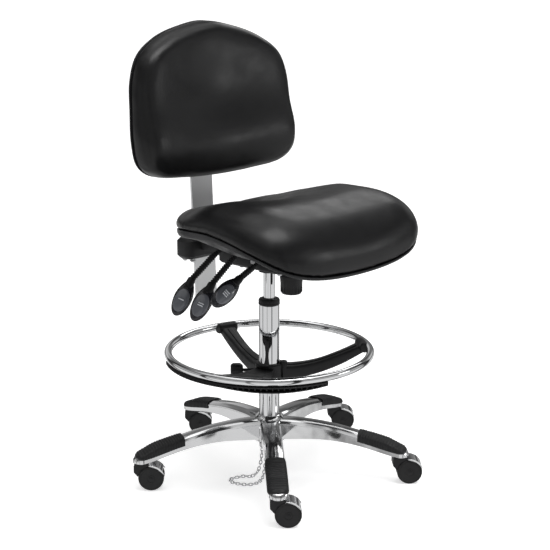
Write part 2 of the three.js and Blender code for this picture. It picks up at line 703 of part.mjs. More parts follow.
function backShell() {
  const rings = [[0.2, 3], [0.86, 3], [0.94, 6], [0.985, 12], [0.99, 18], [0.97, 19], [0.2, 19]];
  return loft(rings.map(([scale, depth]) => backRing(scale, () => depth)));
}

function backCushion() {
  // [scale, distance in front of the rear face]
  const rings = [[0.2, 19.6], [0.97, 19.6], [0.995, 25], [1, 40], [0.985, 56], [0.93, 68], [0.84, 74], [0.6, 76], [0.25, 76]];
  return loft(rings.map(([scale, depth]) => backRing(scale, (x, z) => {
    const share = Math.max(0, (depth - 25) / 51);
    const lumbar = 18 * Math.exp(-(((z + 85) / 80) ** 2));
    const hollow = 14 * Math.exp(-((x / 120) ** 2) - ((z - 10) / 110) ** 2);
    return depth + share * (lumbar - hollow);
  })));
}
add(group, "back_shell", backShell(), "blackNylon");
add(group, "back_cushion", backCushion(), "vinyl");

// ---------------------------------------------------------------- levers

// Each lever lies in a plane across the seat: its stem's path and its paddle's ends as [x, z].
const LEVERS = [
  { y: 90, stem: [[-72.5, 553], [-98, 541], [-134, 518], [-168, 496], [-190, 478]], end: [-222, 420] },
  { y: 30, stem: [[-72.5, 551], [-92, 542], [-126, 518], [-160, 493], [-184, 476]], end: [-219, 418] },
  { y: -35, stem: [[-72.5, 538], [-90, 532], [-112, 523], [-134, 513], [-152, 504]], end: [-217, 465] },
];
const LEVER_RADIUS = 5.5;

function stemBar({ y, stem }, radius) {
  return roundBar(stem.map(([x, z]) => [x, y, z]), radius, 8, 12);
}

function leverPaddle({ y, stem, end }) {
  const neck = stem[stem.length - 2];
  const axis = new THREE.Vector3(end[0] - neck[0], 0, end[1] - neck[1]);
  const length = axis.length();
  const egg = new THREE.SphereGeometry(1, 12, 8);
  const p = egg.attributes.position;
  for (let i = 0; i < p.count; i++) {
    // the egg's long axis is its local Y; it is slimmer at the neck, which is -Y
    const along = p.getY(i);
    const girth = 1 - 0.28 * Math.max(0, -along) ** 1.5;
    p.setXYZ(i, p.getX(i) * 12 * girth, along * (length / 2), p.getZ(i) * 22 * girth);
  }
  egg.applyQuaternion(new THREE.Quaternion().setFromUnitVectors(new THREE.Vector3(0, 1, 0), axis.clone().normalize()));
  egg.translate((neck[0] + end[0]) / 2, y, (neck[1] + end[1]) / 2);
  const [tipX, tipZ] = stem.at(-1);
  const tip = new THREE.SphereGeometry(LEVER_RADIUS + 3 * GAP, 8, 6).translate(tipX, y, tipZ);
  return cut(egg, stemBar({ y, stem }, LEVER_RADIUS + GAP), tip);
}

LEVERS.forEach((lever, i) => {
  add(group, `lever_stem_${i + 1}`, stemBar(lever, LEVER_RADIUS), "blackNylon");
  add(group, `lever_paddle_${i + 1}`, leverPaddle(lever), "blackGloss");
});

// ---------------------------------------------------------------- drag chain

// The chain hangs in a loop from a clip under the hub and lies on the floor. Points are in the
// base's frame.
const CHAIN_RADIUS = 3.4;
const CHAIN_ROUTE = [
  [-17, -33, 71], [-18, -42, 58], [-20, -51, 42], [-24, -58, 25], [-32, -61, 11], [-45, -62, 4], [-60, -61, 4],
  [-77, -68, 4], [-91, -77, 4], [-95, -88, 4], [-85, -101, 4], [-69, -109, 4], [-51, -112, 4], [-35, -107, 4],
  [-23, -92, 4], [-16, -75, 7], [-12, -60, 18], [-9, -48, 37], [-8, -39, 56], [-8, -33, 71],
];
add(base, "drag_chain", roundBar(CHAIN_ROUTE, CHAIN_RADIUS, 8, 26), "chrome");

function chainClip() {
  const plate = block([-24, -40, 77.5], [-1, -28, 81.4]);
  const lugs = [-17, -8].map((x) => block([x - 3, -36.5, 73.4], [x + 3, -29.5, 78]));
  return joined(plate, ...lugs);
}
add(base, "chain_clip", chainClip(), "steel");

export default group;
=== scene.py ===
import math

import bmesh
import bpy
import numpy as np
from mathutils import Matrix, Vector


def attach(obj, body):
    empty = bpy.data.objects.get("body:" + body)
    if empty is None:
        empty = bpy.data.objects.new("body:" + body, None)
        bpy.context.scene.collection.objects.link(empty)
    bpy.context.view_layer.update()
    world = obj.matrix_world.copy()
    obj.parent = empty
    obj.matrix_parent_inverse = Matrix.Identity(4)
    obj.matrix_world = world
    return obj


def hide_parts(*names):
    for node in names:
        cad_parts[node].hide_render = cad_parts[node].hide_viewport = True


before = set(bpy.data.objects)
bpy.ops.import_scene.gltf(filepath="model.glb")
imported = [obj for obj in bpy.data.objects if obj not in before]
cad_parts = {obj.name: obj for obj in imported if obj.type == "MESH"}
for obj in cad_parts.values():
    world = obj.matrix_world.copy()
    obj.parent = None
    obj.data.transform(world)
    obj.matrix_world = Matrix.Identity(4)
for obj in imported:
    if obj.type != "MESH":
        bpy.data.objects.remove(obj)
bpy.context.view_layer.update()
MM = 0.001
scene = bpy.context.scene
scene.view_settings.view_transform = "Standard"

# %% [markdown]
# The camera stands at the sitter's right front, a little above the seat, and looks down by 13.6
# degrees. A long lens from almost three metres keeps the verticals nearly parallel.
# %% Camera
BASE_TURN = math.radians(-46)  # the star base is turned from the seat, as on any swivel chair
BASE = Matrix.Rotation(BASE_TURN, 4, "Z")


LENS, CAMERA_PLACE, LOOK_DOWN = 79.05, (0.014, -2.804, 1.1705), 0.237


def linked(name, data):
    """An object in the scene for some data."""
    made = bpy.data.objects.new(name, data)
    scene.collection.objects.link(made)
    return made


def make_camera():
    data = bpy.data.cameras.new("camera")
    data.lens, data.sensor_width = LENS, 36.0
    camera = linked("camera", data)
    look = Matrix.Rotation(math.pi / 2 - LOOK_DOWN, 4, "X")
    camera.matrix_world = BASE @ Matrix.Translation(CAMERA_PLACE) @ look
    scene.camera = camera
    print("camera, lens", LENS, "mm, looks down by", round(math.degrees(LOOK_DOWN), 1), "degrees")


make_camera()

# %% [markdown]
# Smooth curves carry most shapes: the chain's route, the outline of the backrest, the section of a
# cushion. One centripetal spline serves them all, because it passes through its points without
# overshooting at sharp turns.
# %% Splines
def spline(points, steps, closed=False):
    """Points on a smooth line through the given points, steps per span."""
    pts = [np.array(p, float) for p in points]
    n = len(pts)
    line = []
    for i in range(n if closed else n - 1):
        if closed:
            a, b, c, d = (pts[(i + k) % n] for k in (-1, 0, 1, 2))
        else:
            b, c = pts[i], pts[i + 1]
            a = pts[i - 1] if i else 2 * b - c
            d = pts[i + 2] if i + 2 < n else 2 * c - b
        t = np.cumsum([0] + [max(np.linalg.norm(q - p), 1e-6) ** 0.5 for p, q in ((a, b), (b, c), (c, d))])
        for s in np.linspace(t[1], t[2], steps, endpoint=False):
            def mix(p, q, u, v):
                return (p * (v - s) + q * (s - u)) / (v - u)
            ab, bc, cd = mix(a, b, t[0], t[1]), mix(b, c, t[1], t[2]), mix(c, d, t[2], t[3])
            line.append(mix(mix(ab, bc, t[0], t[2]), mix(bc, cd, t[1], t[3]), t[1], t[2]))
    if not closed:
        line.append(pts[-1])
    return np.array(line)


def evenly(line, count, closed=False):
    """The same line in equal steps: count points."""
    path = np.vstack([line, line[:1]]) if closed else np.asarray(line)
    run = np.concatenate([[0], np.cumsum(np.linalg.norm(np.diff(path, axis=0), axis=1))])
    at = np.linspace(0, run[-1], count + 1)[:-1] if closed else np.linspace(0, run[-1], count)
    return np.stack([np.interp(at, run, path[:, k]) for k in range(path.shape[1])], axis=1)


def height_at(points, x):
    """Height at x on a smooth line through [x, height] points."""
    if x <= points[0][0]:
        return points[0][1]
    if x >= points[-1][0]:
        return points[-1][1]
    i = next(k for k, p in enumerate(points) if p[0] > x) - 1

    def slope(k):
        a, b = points[max(k - 1, 0)], points[min(k + 1, len(points) - 1)]
        return (b[1] - a[1]) / (b[0] - a[0])

    (x0, y0), (x1, y1) = points[i], points[i + 1]
    w = x1 - x0
    t = (x - x0) / w
    h = t * t * (3 - 2 * t)
    return y0 * (1 - h) + y1 * h + w * (t * (1 - t) ** 2 * slope(i) + t * t * (t - 1) * slope(i + 1))


print("three points and 8 steps give", len(spline([(0, 0), (1, 1), (2, 0)], 8)), "points")

# %% [markdown]
# Every solid below is a loft through rings, a turned profile, or a flat outline given a thickness.
# Each helper returns plain vertices and faces, so that several can be joined into one piece.
# %% Solids
def loft(rings, closed=False):
    """Skin through rings with the same number of points. An open one gets a fan at each end."""
    count = len(rings[0])
    verts = [tuple(p) for ring in rings for p in ring]
    faces = []
    spans = len(rings) if closed else len(rings) - 1
    for k in range(spans):
        m = (k + 1) % len(rings)
        for i in range(count):
            j = (i + 1) % count
            faces.append((k * count + i, k * count + j, m * count + j, m * count + i))
    if not closed:
        for first in (0, (len(rings) - 1) * count):
            ring = verts[first : first + count]
            verts.append(tuple(np.mean(ring, axis=0)))
            faces += [(len(verts) - 1, first + i, first + (i + 1) % count) for i in range(count)]
    return verts, faces


def turned(profile, sides=64, closed=False):
    """Body turned about +Z from (radius, height) points."""
    angles = np.linspace(0, 2 * math.pi, sides, endpoint=False)
    rings = [[(r * math.cos(a), r * math.sin(a), h) for a in angles] for r, h in profile]
    return loft(rings, closed)


def slab(outline, low, high):
    """Flat outline in X and Z with a thickness along Y."""
    return loft([[(x, y, z) for x, z in outline] for y in (low, high)])


def arc(cx, cz, radius, start, end, count=24):
    """Points round a middle, between two angles in degrees."""
    angles = np.radians(np.linspace(start, end, count))
    return [(cx + radius * math.cos(a), cz + radius * math.sin(a)) for a in angles]


def moved(shape, matrix):
    verts, faces = shape
    return [tuple(matrix @ Vector(v)) for v in verts], faces


def together(*shapes):
    verts, faces = [], []
    for v, f in shapes:
        faces += [tuple(i + len(verts) for i in face) for face in f]
        verts += v
    return verts, faces


print("a turned disc has", len(turned([(0, 0), (5, 0), (5, 1), (0, 1)])[1]), "faces")

# %% [markdown]
# A piece is a mesh with closed seams and outward faces, a material, a body that it rides on, and the
# names of the model pieces that it stands for. These helpers do that the same way every time. One of
# them makes a better copy of a model piece whose shape is already right.
# %% Pieces
def mesh_of(name, shape):
    """A mesh in metres from a shape in millimetres."""
    verts, faces = shape
    mesh = bpy.data.meshes.new(name)
    mesh.from_pydata([tuple(c * MM for c in v) for v in verts], [], faces)
    return mesh


def baked(holder):
    """The holder's mesh with its modifiers applied; the holder goes."""
    made = bpy.data.meshes.new_from_object(holder.evaluated_get(bpy.context.evaluated_depsgraph_get()))
    bpy.data.objects.remove(holder)
    return made


def smoothed(mesh, crease=None):
    """Smooth shading all over, or up to the angle of a crease in degrees."""
    mesh.polygons.foreach_set("use_smooth", [True] * len(mesh.polygons))
    if crease:
        mesh.set_sharp_from_angle(angle=math.radians(crease))
    return mesh


def finish_mesh(mesh, crease=32):
    """Closes the seams, turns the faces outwards and marks the sharp edges."""
    bm = bmesh.new()
    bm.from_mesh(mesh)
    bmesh.ops.remove_doubles(bm, verts=bm.verts, dist=2e-6)
    bmesh.ops.dissolve_degenerate(bm, edges=bm.edges, dist=1e-7)
    bmesh.ops.recalc_face_normals(bm, faces=bm.faces)
    bm.to_mesh(mesh)
    bm.free()
    return smoothed(mesh, crease)


def make_piece(name, shape, material, body, nodes=(), matrix=None, crease=32, bevel=0.0):
    """A finished piece from a shape in millimetres, riding on its body."""
    mesh = mesh_of(name, shape if matrix is None else moved(shape, matrix))
    return dress(name, finish_mesh(mesh, crease), material, body, nodes, bevel)


def dress(name, mesh, material, body, nodes=(), bevel=0.0):
    """A piece with its material, its body and the model pieces that it stands for."""
    mesh.materials.clear()
    mesh.materials.append(material)
    piece = linked(name, mesh)
    if bevel:
        mod = piece.modifiers.new("edges", "BEVEL")
        mod.width, mod.segments, mod.limit_method = bevel * MM, 3, "ANGLE"
        mod.angle_limit, mod.harden_normals = math.radians(32), False
    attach(piece, body)
    if nodes:
        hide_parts(*nodes)
    print(name, "on", body, len(mesh.polygons), "faces")
    return piece


def refined(node, material, body, bevel=0.6, crease=32):
    """A copy of a model piece with joined vertices, eased edges and smooth curved faces."""
    mesh = finish_mesh(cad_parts[node].data.copy(), crease)
    bm = bmesh.new()
    bm.from_mesh(mesh)
    bmesh.ops.dissolve_limit(bm, angle_limit=math.radians(1), verts=bm.verts, edges=bm.edges)
    bm.to_mesh(mesh)
    bm.free()
    return dress(f"{node}_finished", mesh, material, body, [node], bevel)


def finish(
    name, color, metallic, rough, grain, bump, wave=None, stretch=(1, 1, 1), coat=0.0, tint=0.0, shine=0.5
):
    """Principled finish: grain and wave are (size in mm, amount); rough is (low, high)."""
    material = bpy.data.materials.new(name)
    material.use_nodes = True
    nodes, links = material.node_tree.nodes, material.node_tree.links
    shader = nodes["Principled BSDF"]
    shader.inputs["Metallic"].default_value = metallic
    shader.inputs["Base Color"].default_value = (*color, 1)
    shader.inputs["Specular IOR Level"].default_value = shine
    shader.inputs["Coat Weight"].default_value = coat
    shader.inputs["Coat Roughness"].default_value = 0.12
    where = nodes.new("ShaderNodeTexCoord")
    scaled = nodes.new("ShaderNodeMapping")
    scaled.inputs["Scale"].default_value = stretch
    links.new(where.outputs["Object"], scaled.inputs["Vector"])

    def noise(size_mm, detail):
        made = nodes.new("ShaderNodeTexNoise")
        made.inputs["Scale"].default_value = 1000 / size_mm
        made.inputs["Detail"].default_value = detail
        links.new(scaled.outputs["Vector"], made.inputs["Vector"])
        return made

    smudge = noise(38, 4)
    spread = nodes.new("ShaderNodeMapRange")
    spread.inputs["From Min"].default_value, spread.inputs["From Max"].default_value = 0.35, 0.68
    spread.inputs["To Min"].default_value, spread.inputs["To Max"].default_value = rough
    links.new(smudge.outputs["Fac"], spread.inputs["Value"])
    links.new(spread.outputs["Result"], shader.inputs["Roughness"])
    if tint:
        shade = nodes.new("ShaderNodeMix")
        shade.data_type = "RGBA"
        shade.inputs["A"].default_value = (*color, 1)
        shade.inputs["B"].default_value = (*(min(1, c + tint) for c in color), 1)
        links.new(noise(9, 6).outputs["Fac"], shade.inputs["Factor"])
        links.new(shade.outputs["Result"], shader.inputs["Base Color"])
    fine = nodes.new("ShaderNodeBump")
    fine.inputs["Strength"].default_value = bump
    fine.inputs["Distance"].default_value = grain[1] * MM
    if grain[2] == "pebble":
        cells = nodes.new("ShaderNodeTexVoronoi")
        cells.feature = "SMOOTH_F1"
        cells.inputs["Scale"].default_value = 1000 / grain[0]
        links.new(scaled.outputs["Vector"], cells.inputs["Vector"])
        links.new(cells.outputs["Distance"], fine.inputs["Height"])
    else:
        links.new(noise(grain[0], 2).outputs["Fac"], fine.inputs["Height"])
    if wave:
        broad = nodes.new("ShaderNodeBump")
        broad.inputs["Strength"].default_value = 1.0
        broad.inputs["Distance"].default_value = wave[1] * MM
        links.new(noise(wave[0], 1).outputs["Fac"], broad.inputs["Height"])
        links.new(broad.outputs["Normal"], fine.inputs["Normal"])
    links.new(fine.outputs["Normal"], shader.inputs["Normal"])
    return material


# %% [markdown]
# Eleven finishes cover the chair. The metals differ in gloss and in flatness. The blacks differ in
# gloss and grain: moulded nylon is dull, the paddles are glossy, and the vinyl lies between them.
# %% The chair's finishes
CHROME = finish("bright_chrome", (0.8, 0.805, 0.815), 1, (0.03, 0.09), (0.9, 0.004, "noise"), 0.3)
ALUMINIUM = finish(
    "polished_casting", (0.78, 0.783, 0.79), 1, (0.07, 0.17), (1.2, 0.01, "noise"), 0.35,
    wave=(42, 0.5),
)
BRUSHED = finish(
    "brushed_bar", (0.7, 0.703, 0.71), 0.3, (0.3, 0.44), (0.5, 0.03, "noise"), 0.5,
    stretch=(1, 1, 0.04),
)
STEEL = finish("zinc_steel", (0.56, 0.56, 0.57), 1, (0.28, 0.45), (1.1, 0.03, "noise"), 0.4, tint=0.05)
NYLON = finish(
    "grained_nylon", (0.0085, 0.0087, 0.0095), 0, (0.36, 0.55), (0.55, 0.06, "noise"), 0.55,
    tint=0.004, shine=0.3,
)
RIBBED = finish(
    "pad_rubber", (0.011, 0.0112, 0.012), 0, (0.42, 0.6), (0.7, 0.08, "noise"), 0.6, tint=0.006,
    shine=0.3,
)
GLOSS = finish(
    "gloss_moulding", (0.013, 0.0135, 0.017), 0, (0.12, 0.22), (2.0, 0.01, "noise"), 0.2, coat=0.25,
    shine=0.4,
)
INLAY = finish(
    "smoked_inlay", (0.1, 0.105, 0.118), 0, (0.08, 0.16), (3.0, 0.01, "noise"), 0.2, coat=0.5,
)
MARK = finish("pale_mark", (0.55, 0.57, 0.6), 0, (0.3, 0.4), (1.0, 0.01, "noise"), 0.2)
TYRE = finish(
    "caster_wheel", (0.011, 0.011, 0.0115), 0, (0.36, 0.55), (0.9, 0.05, "noise"), 0.5, tint=0.005,
    shine=0.3,
)
VINYL = finish(
    "black_vinyl", (0.0062, 0.0062, 0.0066), 0, (0.29, 0.37), (1.05, 0.05, "pebble"), 0.35,
    wave=(70, 0.35), shine=0.3,
)

# %% [markdown]
# What repeats is made with Geometry Nodes. A small helper starts a tree with named inputs, another
# runs it on a piece of geometry and keeps the result as a plain mesh.
# %% Node tree helpers
KINDS = {float: "NodeSocketFloat", int: "NodeSocketInt", Vector: "NodeSocketVector"}


class Tree:
    """A Geometry Nodes tree under construction."""

    def __init__(self, name, **inputs):
        self.group = bpy.data.node_groups.new(name, "GeometryNodeTree")
        new_socket = self.group.interface.new_socket
        new_socket("Geometry", in_out="INPUT", socket_type="NodeSocketGeometry")
        for label, value in inputs.items():
            made = new_socket(label.replace("_", " "), in_out="INPUT", socket_type=KINDS[type(value)])
            made.default_value = value
        new_socket("Geometry", in_out="OUTPUT", socket_type="NodeSocketGeometry")
        self.source = self.group.nodes.new("NodeGroupInput")
        self.sink = self.group.nodes.new("NodeGroupOutput")

    def input(self, label):
        return self.source.outputs[label.replace("_", " ")]

    def node(self, kind, **links):
        """A node whose sockets are linked or set by name; a leading underscore sets a property."""
        made = self.group.nodes.new(kind)
        for key, value in links.items():
            if key.startswith("_"):
                setattr(made, key[1:], value)
        for key, value in links.items():
            if key.startswith("_"):
                continue
            socket = made.inputs[int(key[2:])] if key.startswith("at") else made.inputs[key.replace("_", " ")]
            if isinstance(value, bpy.types.NodeSocket):
                self.group.links.new(value, socket)
            else:
                socket.default_value = value
        return made

    def math(self, operation, a, b=0.0):
        return self.node("ShaderNodeMath", _operation=operation, at0=a, at1=b).outputs[0]

    def copies(self, points, instance, **links):
        made = self.node("GeometryNodeInstanceOnPoints", Points=points, Instance=instance, **links)
        return made.outputs[0]

    def end(self, geometry, material):
        real = self.node("GeometryNodeRealizeInstances", Geometry=geometry)
        painted = self.node("GeometryNodeSetMaterial", Geometry=real.outputs[0], Material=material)
        self.group.links.new(painted.outputs[0], self.sink.inputs[0])
        return self.group


def grown(name, mesh, tree, **values):
    """The mesh that a tree makes from the given mesh."""
    holder = linked(name, mesh)
    modifier = holder.modifiers.new(tree.name, "NODES")
    modifier.node_group = tree
    ids = {s.name: s.identifier for s in tree.interface.items_tree if s.in_out == "INPUT"}
    for label, value in values.items():
        modifier[ids[label.replace("_", " ")]] = value
    bpy.context.view_layer.update()
    return baked(holder)


def line_mesh(name, points):
    mesh = bpy.data.meshes.new(name)
    mesh.from_pydata([tuple(p) for p in points], [(i, i + 1) for i in range(len(points) - 1)], [])
    return mesh


# %% [markdown]
# The drag chain is a free chain of bright links. It hangs from a clip under the hub, reaches the
# floor, turns round and comes back, so static charge runs off to the floor. A tree sets one stadium
# shaped link at each step of the route and gives every second link a quarter turn.
# %% Drag chain
CHAIN_ROUTE = [
    (-17, -33, 71), (-18, -42, 58), (-20, -51, 42), (-24, -58, 25), (-32, -61, 11), (-45, -62, 4), (-60, -61, 4),
    (-77, -68, 4), (-91, -77, 4), (-95, -88, 4), (-85, -101, 4), (-69, -109, 4), (-51, -112, 4), (-35, -107, 4),
    (-23, -92, 4), (-16, -75, 7), (-12, -60, 18), (-9, -48, 37), (-8, -39, 56), (-8, -33, 71),
]


def chain_tree():
    t = Tree("chain", Pitch=0.0078, Link_Length=0.0104, Link_Width=0.0066, Wire=0.0013)
    route = t.node("GeometryNodeMeshToCurve", Mesh=t.input("Geometry"))
    steps = t.node("GeometryNodeResampleCurve", _mode="LENGTH", Curve=route.outputs[0], Length=t.input("Pitch"))
    length, width = t.input("Link_Length"), t.input("Link_Width")
    loop = t.node("GeometryNodeCurvePrimitiveQuadrilateral", Width=length, Height=width)
    corner = t.math("MULTIPLY", width, 0.499)
    rounded = t.node(
        "GeometryNodeFilletCurve", _mode="POLY", Curve=loop.outputs[0], Count=3, Radius=corner, Limit_Radius=True
    )
    wire = t.node("GeometryNodeCurvePrimitiveCircle", Resolution=6, Radius=t.input("Wire"))
    link = t.node("GeometryNodeCurveToMesh", Curve=rounded.outputs[0], Profile_Curve=wire.outputs[0])
    tangent = t.node("GeometryNodeInputTangent").outputs[0]
    along = t.node("FunctionNodeAlignRotationToVector", _axis="X", Vector=tangent)
    parity = t.math("MODULO", t.node("GeometryNodeInputIndex").outputs[0], 2.0)
    angle = t.math("ADD", t.math("MULTIPLY", parity, math.pi / 2), math.pi / 4)
    twist = t.node("FunctionNodeAxisAngleToRotation", Axis=(1, 0, 0), Angle=angle)
    turned_link = t.node(
        "FunctionNodeRotateRotation", _rotation_space="LOCAL", Rotation=along.outputs[0], Rotate_By=twist.outputs[0]
    )
    return t.end(t.copies(steps.outputs[0], link.outputs[0], Rotation=turned_link.outputs[0]), CHROME)


def make_chain():
    route = spline([tuple(BASE @ Vector(p) * MM) for p in CHAIN_ROUTE], 12)
    mesh = smoothed(grown("chain_source", line_mesh("chain_route", route), chain_tree()))
    chain = dress("chain_links", mesh, CHROME, "base", ["drag_chain"])


make_chain()
refined("chain_clip", STEEL, "base", 0.5)

# %% [markdown]
# The star base is one polished casting: a hub with five arched arms. An arm has a flat top ridge
# with a long bevel on each side, a thin bead under the bevel, and tall thin walls that leave it
# hollow below. The section changes all along the arm, so a loft through many sections suits it.
# %% Star base
ARM_COUNT, FIRST_ARM = 5, -86.3
STEM_CIRCLE, ARM_HALF_WIDTH, HUB_BORE = 325, 21, 25.3
ARM_RIDGE = [(20, 136), (75, 137), (150, 131), (220, 118), (290, 103), (325, 88), (346, 80)]
ARM_UNDERSIDE = [(20, 86), (65, 91), (125, 96), (176, 95), (232, 87), (300, 71), (325, 66.4), (346, 66.4)]
PAD_START = 224


def arm_matrix(i):
    return BASE @ Matrix.Rotation(math.radians(FIRST_ARM + 360 * i / ARM_COUNT), 4, "Z")


def arm_stations(start, offset=0.0, step=6.0, reach=None):
    """(distance, half width) along an arm, which ends in a half round or a shorter half oval."""
    flat = [(r, ARM_HALF_WIDTH + 2.5 * (1 - min(r, 240) / 240) + offset) for r in np.arange(start, STEM_CIRCLE, step)]
    rounding = ARM_HALF_WIDTH + offset
    angles = np.radians(np.linspace(0, 88, 14))
    return flat + [(STEM_CIRCLE + (reach or rounding) * math.sin(a), rounding * math.cos(a)) for a in angles]


def top_drop(distance):
    """How far the bevelled top lies under the ridge, by the distance from the arm's edge."""
    return float(np.interp(distance, [0, 3, 10.5, 12.2], [7, 2.6, 0.3, 0]))


def arm_ring(r, w):
    top, bottom = height_at(ARM_RIDGE, r), height_at(ARM_UNDERSIDE, r)
    k = min(1.0, w / 8)
    hollow = max(0.0, min(1.0, (r - 58) / 6, (292 - r) / 8))
    ceiling = bottom + 0.4 + hollow * (top - 11 - bottom)
    inner = max(w - 4.5, w * 0.4)
    bead = w + 0.8 * k
    half = [(w - 0.7 * k, bottom), (w, bottom + 0.8), (w, top - 11.2), (bead, top - 10.2), (bead, top - 8)]
    for share in (0.99, 0.86, 0.68, 0.5, 0.42):
        y = w * share
        beyond = math.hypot(max(0.0, r - STEM_CIRCLE), y)
        edge = ARM_HALF_WIDTH - beyond if r > STEM_CIRCLE else w - y
        half.append((y, top - top_drop(edge)))
    under = [(inner, bottom), (inner, ceiling)]
    ring = half + [(-y, z) for y, z in reversed(half)] + [(-y, z) for y, z in under] + under[::-1]
    return [(r, y, z) for y, z in ring]


print("arm section", len(arm_ring(150, 21)), "points at", len(arm_stations(30)), "stations")

# %% [markdown]
# Five copies of the arm, turned about the column, and a turned hub make one casting. They are joined
# into one piece, because the real base is cast in one.
# %% Casting
def make_star_base():
    arm = loft([arm_ring(r, w) for r, w in arm_stations(30)])
    hub = turned(
        [(HUB_BORE, 82), (41, 82), (42, 83), (42, 117), (41.6, 122), (40.2, 128), (37.5, 134), (34, 139),
         (30.5, 142.6), (28, 144.4), (HUB_BORE, 145)], 96, closed=True,
    )
    arms = [moved(arm, arm_matrix(i)) for i in range(ARM_COUNT)]
    return make_piece("star_base_casting", together(hub, *arms), ALUMINIUM, "base", ["star_base"], crease=24)


make_star_base()

# %% [markdown]
# A ribbed rubber pad caps the outer part of each arm, where feet rest. The pad is a smooth cap lofted
# a little outside the arm; a tree then raises fine cross ribs along it by moving its points outwards.
# %% Grip pads
def ribs_tree():
    t = Tree("cross_ribs", Direction=Vector((1, 0, 0)), Start=0.231, End=0.334, Pitch=0.0062, Height=0.0011)
    place = t.node("GeometryNodeInputPosition").outputs[0]
    dot = t.node("ShaderNodeVectorMath", _operation="DOT_PRODUCT", at0=place, at1=t.input("Direction"))
    along = dot.outputs["Value"]
    phase = t.math("DIVIDE", t.math("SUBTRACT", along, t.input("Start")), t.input("Pitch"))
    wave = t.math("SINE", t.math("MULTIPLY", phase, 2 * math.pi))
    crest = t.math("POWER", t.math("MAXIMUM", wave, 0.0), 0.5)
    past_start = t.math("GREATER_THAN", along, t.input("Start"))
    inside = t.math("MULTIPLY", past_start, t.math("LESS_THAN", along, t.input("End")))
    amount = t.math("MULTIPLY", t.math("MULTIPLY", crest, inside), t.input("Height"))
    normal = t.node("GeometryNodeInputNormal").outputs[0]
    up = t.node("ShaderNodeSeparateXYZ", Vector=normal).outputs["Z"]
    facing = t.math("MAXIMUM", t.math("MULTIPLY", t.math("ADD", up, 0.25), 4.0), 0.0)
    amount = t.math("MULTIPLY", amount, t.math("MINIMUM", facing, 1.0))
    shift = t.node("ShaderNodeVectorMath", _operation="SCALE", at0=normal, Scale=amount).outputs[0]
    ribbed = t.node("GeometryNodeSetPosition", Geometry=t.input("Geometry"), Offset=shift)
    return t.end(ribbed.outputs[0], RIBBED)


def pad_ring(r, w, grow):
    top, bottom = height_at(ARM_RIDGE, r) + grow, height_at(ARM_UNDERSIDE, r) + 11
    bottom = min(bottom, top - 8.6)
    inner_top = max(top - 2.0, bottom + 6.6)
    inner = max(w - 1.9, 0.3)
    half = [(w, bottom), (w, bottom + 0.1), (w, top - 8.4), (w * 0.985, top - 6.6), (w * 0.93, top - 4.2)]
    half += [(w * 0.84, top - 2.2), (w * 0.68, top - 0.8), (w * 0.5, top - 0.2), (w * 0.25, top)]
    under = [(inner, bottom), (inner, inner_top - 6.4)]
    under += [(inner * 0.86, inner_top - 1.6), (inner * 0.4, inner_top + 0.4)]
    ring = half + [(0, top)] + [(-y, z) for y, z in reversed(half)] + [(-y, z) for y, z in under] + under[::-1]
    return [(r, y, z) for y, z in ring]


def make_pads():
    tree = ribs_tree()
    for i in range(ARM_COUNT):
        matrix = arm_matrix(i)
        rings = [pad_ring(r, w, 2.4) for r, w in arm_stations(PAD_START, 2.4, 0.9, 16)]
        mesh = finish_mesh(mesh_of("pad_source", moved(loft(rings), matrix)))
        made = grown("pad_holder", mesh, tree, Direction=matrix @ Vector((1, 0, 0)))
        made.set_sharp_from_angle(angle=math.radians(40))
        dress(f"grip_pad_{i + 1}", made, RIBBED, "base", [f"arm_pad_{i + 1}"])


make_pads()

# %% [markdown]
# A twin-wheel caster turns on a short stem. Its moulded body has a block round the stem and a web
# between the wheels, with a hood over both wheels that carries a chromed crescent. The wheels are
# turned, with a rounded tread, a shallow groove in the face and a hub cap.
# %% Casters
TRAIL, AXLE_HEIGHT, CASTER_TOP = 22, 30.4, 65.6
WEB, WHEEL_WIDTH = 6.5, 13
HOOD_IN, HOOD_OUT = 31.2, 32.6


def caster_matrix(i):
    a = math.radians(FIRST_ARM + 360 * i / ARM_COUNT)
    place = Matrix.Translation((STEM_CIRCLE * math.cos(a), STEM_CIRCLE * math.sin(a), 0))
    return BASE @ place @ Matrix.Rotation(math.radians(1.5), 4, "Z")


def round_axle(radius, start, end, count=24):
    return arc(TRAIL, AXLE_HEIGHT, radius, start, end, count)


def on_axle(shape, side, distance):
    """A shape turned about +Z, laid on the axle and facing out on one side."""
    place = Matrix.Translation((TRAIL, side * distance, AXLE_HEIGHT))
    return moved(shape, place @ Matrix.Rotation(-math.pi / 2 * side, 4, "X"))


def caster_body():
    front = [(-18.5, 46), (-18.5, CASTER_TOP - 4), (-17.3, CASTER_TOP - 1.2), (-14.5, CASTER_TOP)]
    front += [(TRAIL + HOOD_OUT * math.cos(math.radians(103)), CASTER_TOP)] + round_axle(HOOD_IN, 101, 172)
    web = round_axle(HOOD_IN + 1, 37, 165) + round_axle(23, 165, 397, 40)
    hood = round_axle(HOOD_OUT, 36, 103) + round_axle(HOOD_IN, 103, 36)
    return together(slab(front, -18, 18), slab(web, -WEB, WEB), slab(hood, -19.5, 19.5))


def crescent():
    """Thin bright cap: a band over the hood with a crescent lip down each side."""
    outer = HOOD_OUT + 0.6
    band = round_axle(outer, 33, 99) + round_axle(HOOD_OUT - 0.1, 99, 33)
    lip = round_axle(outer, 18, 100)
    for s, a in zip(np.linspace(0, 1, 24), np.radians(np.linspace(100, 18, 24))):
        r = outer - 0.4 - 3.4 * math.sin(math.pi * s)
        lip.append((TRAIL + r * math.cos(a), AXLE_HEIGHT + r * math.sin(a)))
    return together(slab(band, -20.4, 20.4), slab(lip, -21.2, -20.3), slab(lip, 20.3, 21.2))


print("caster body", len(caster_body()[1]), "faces")

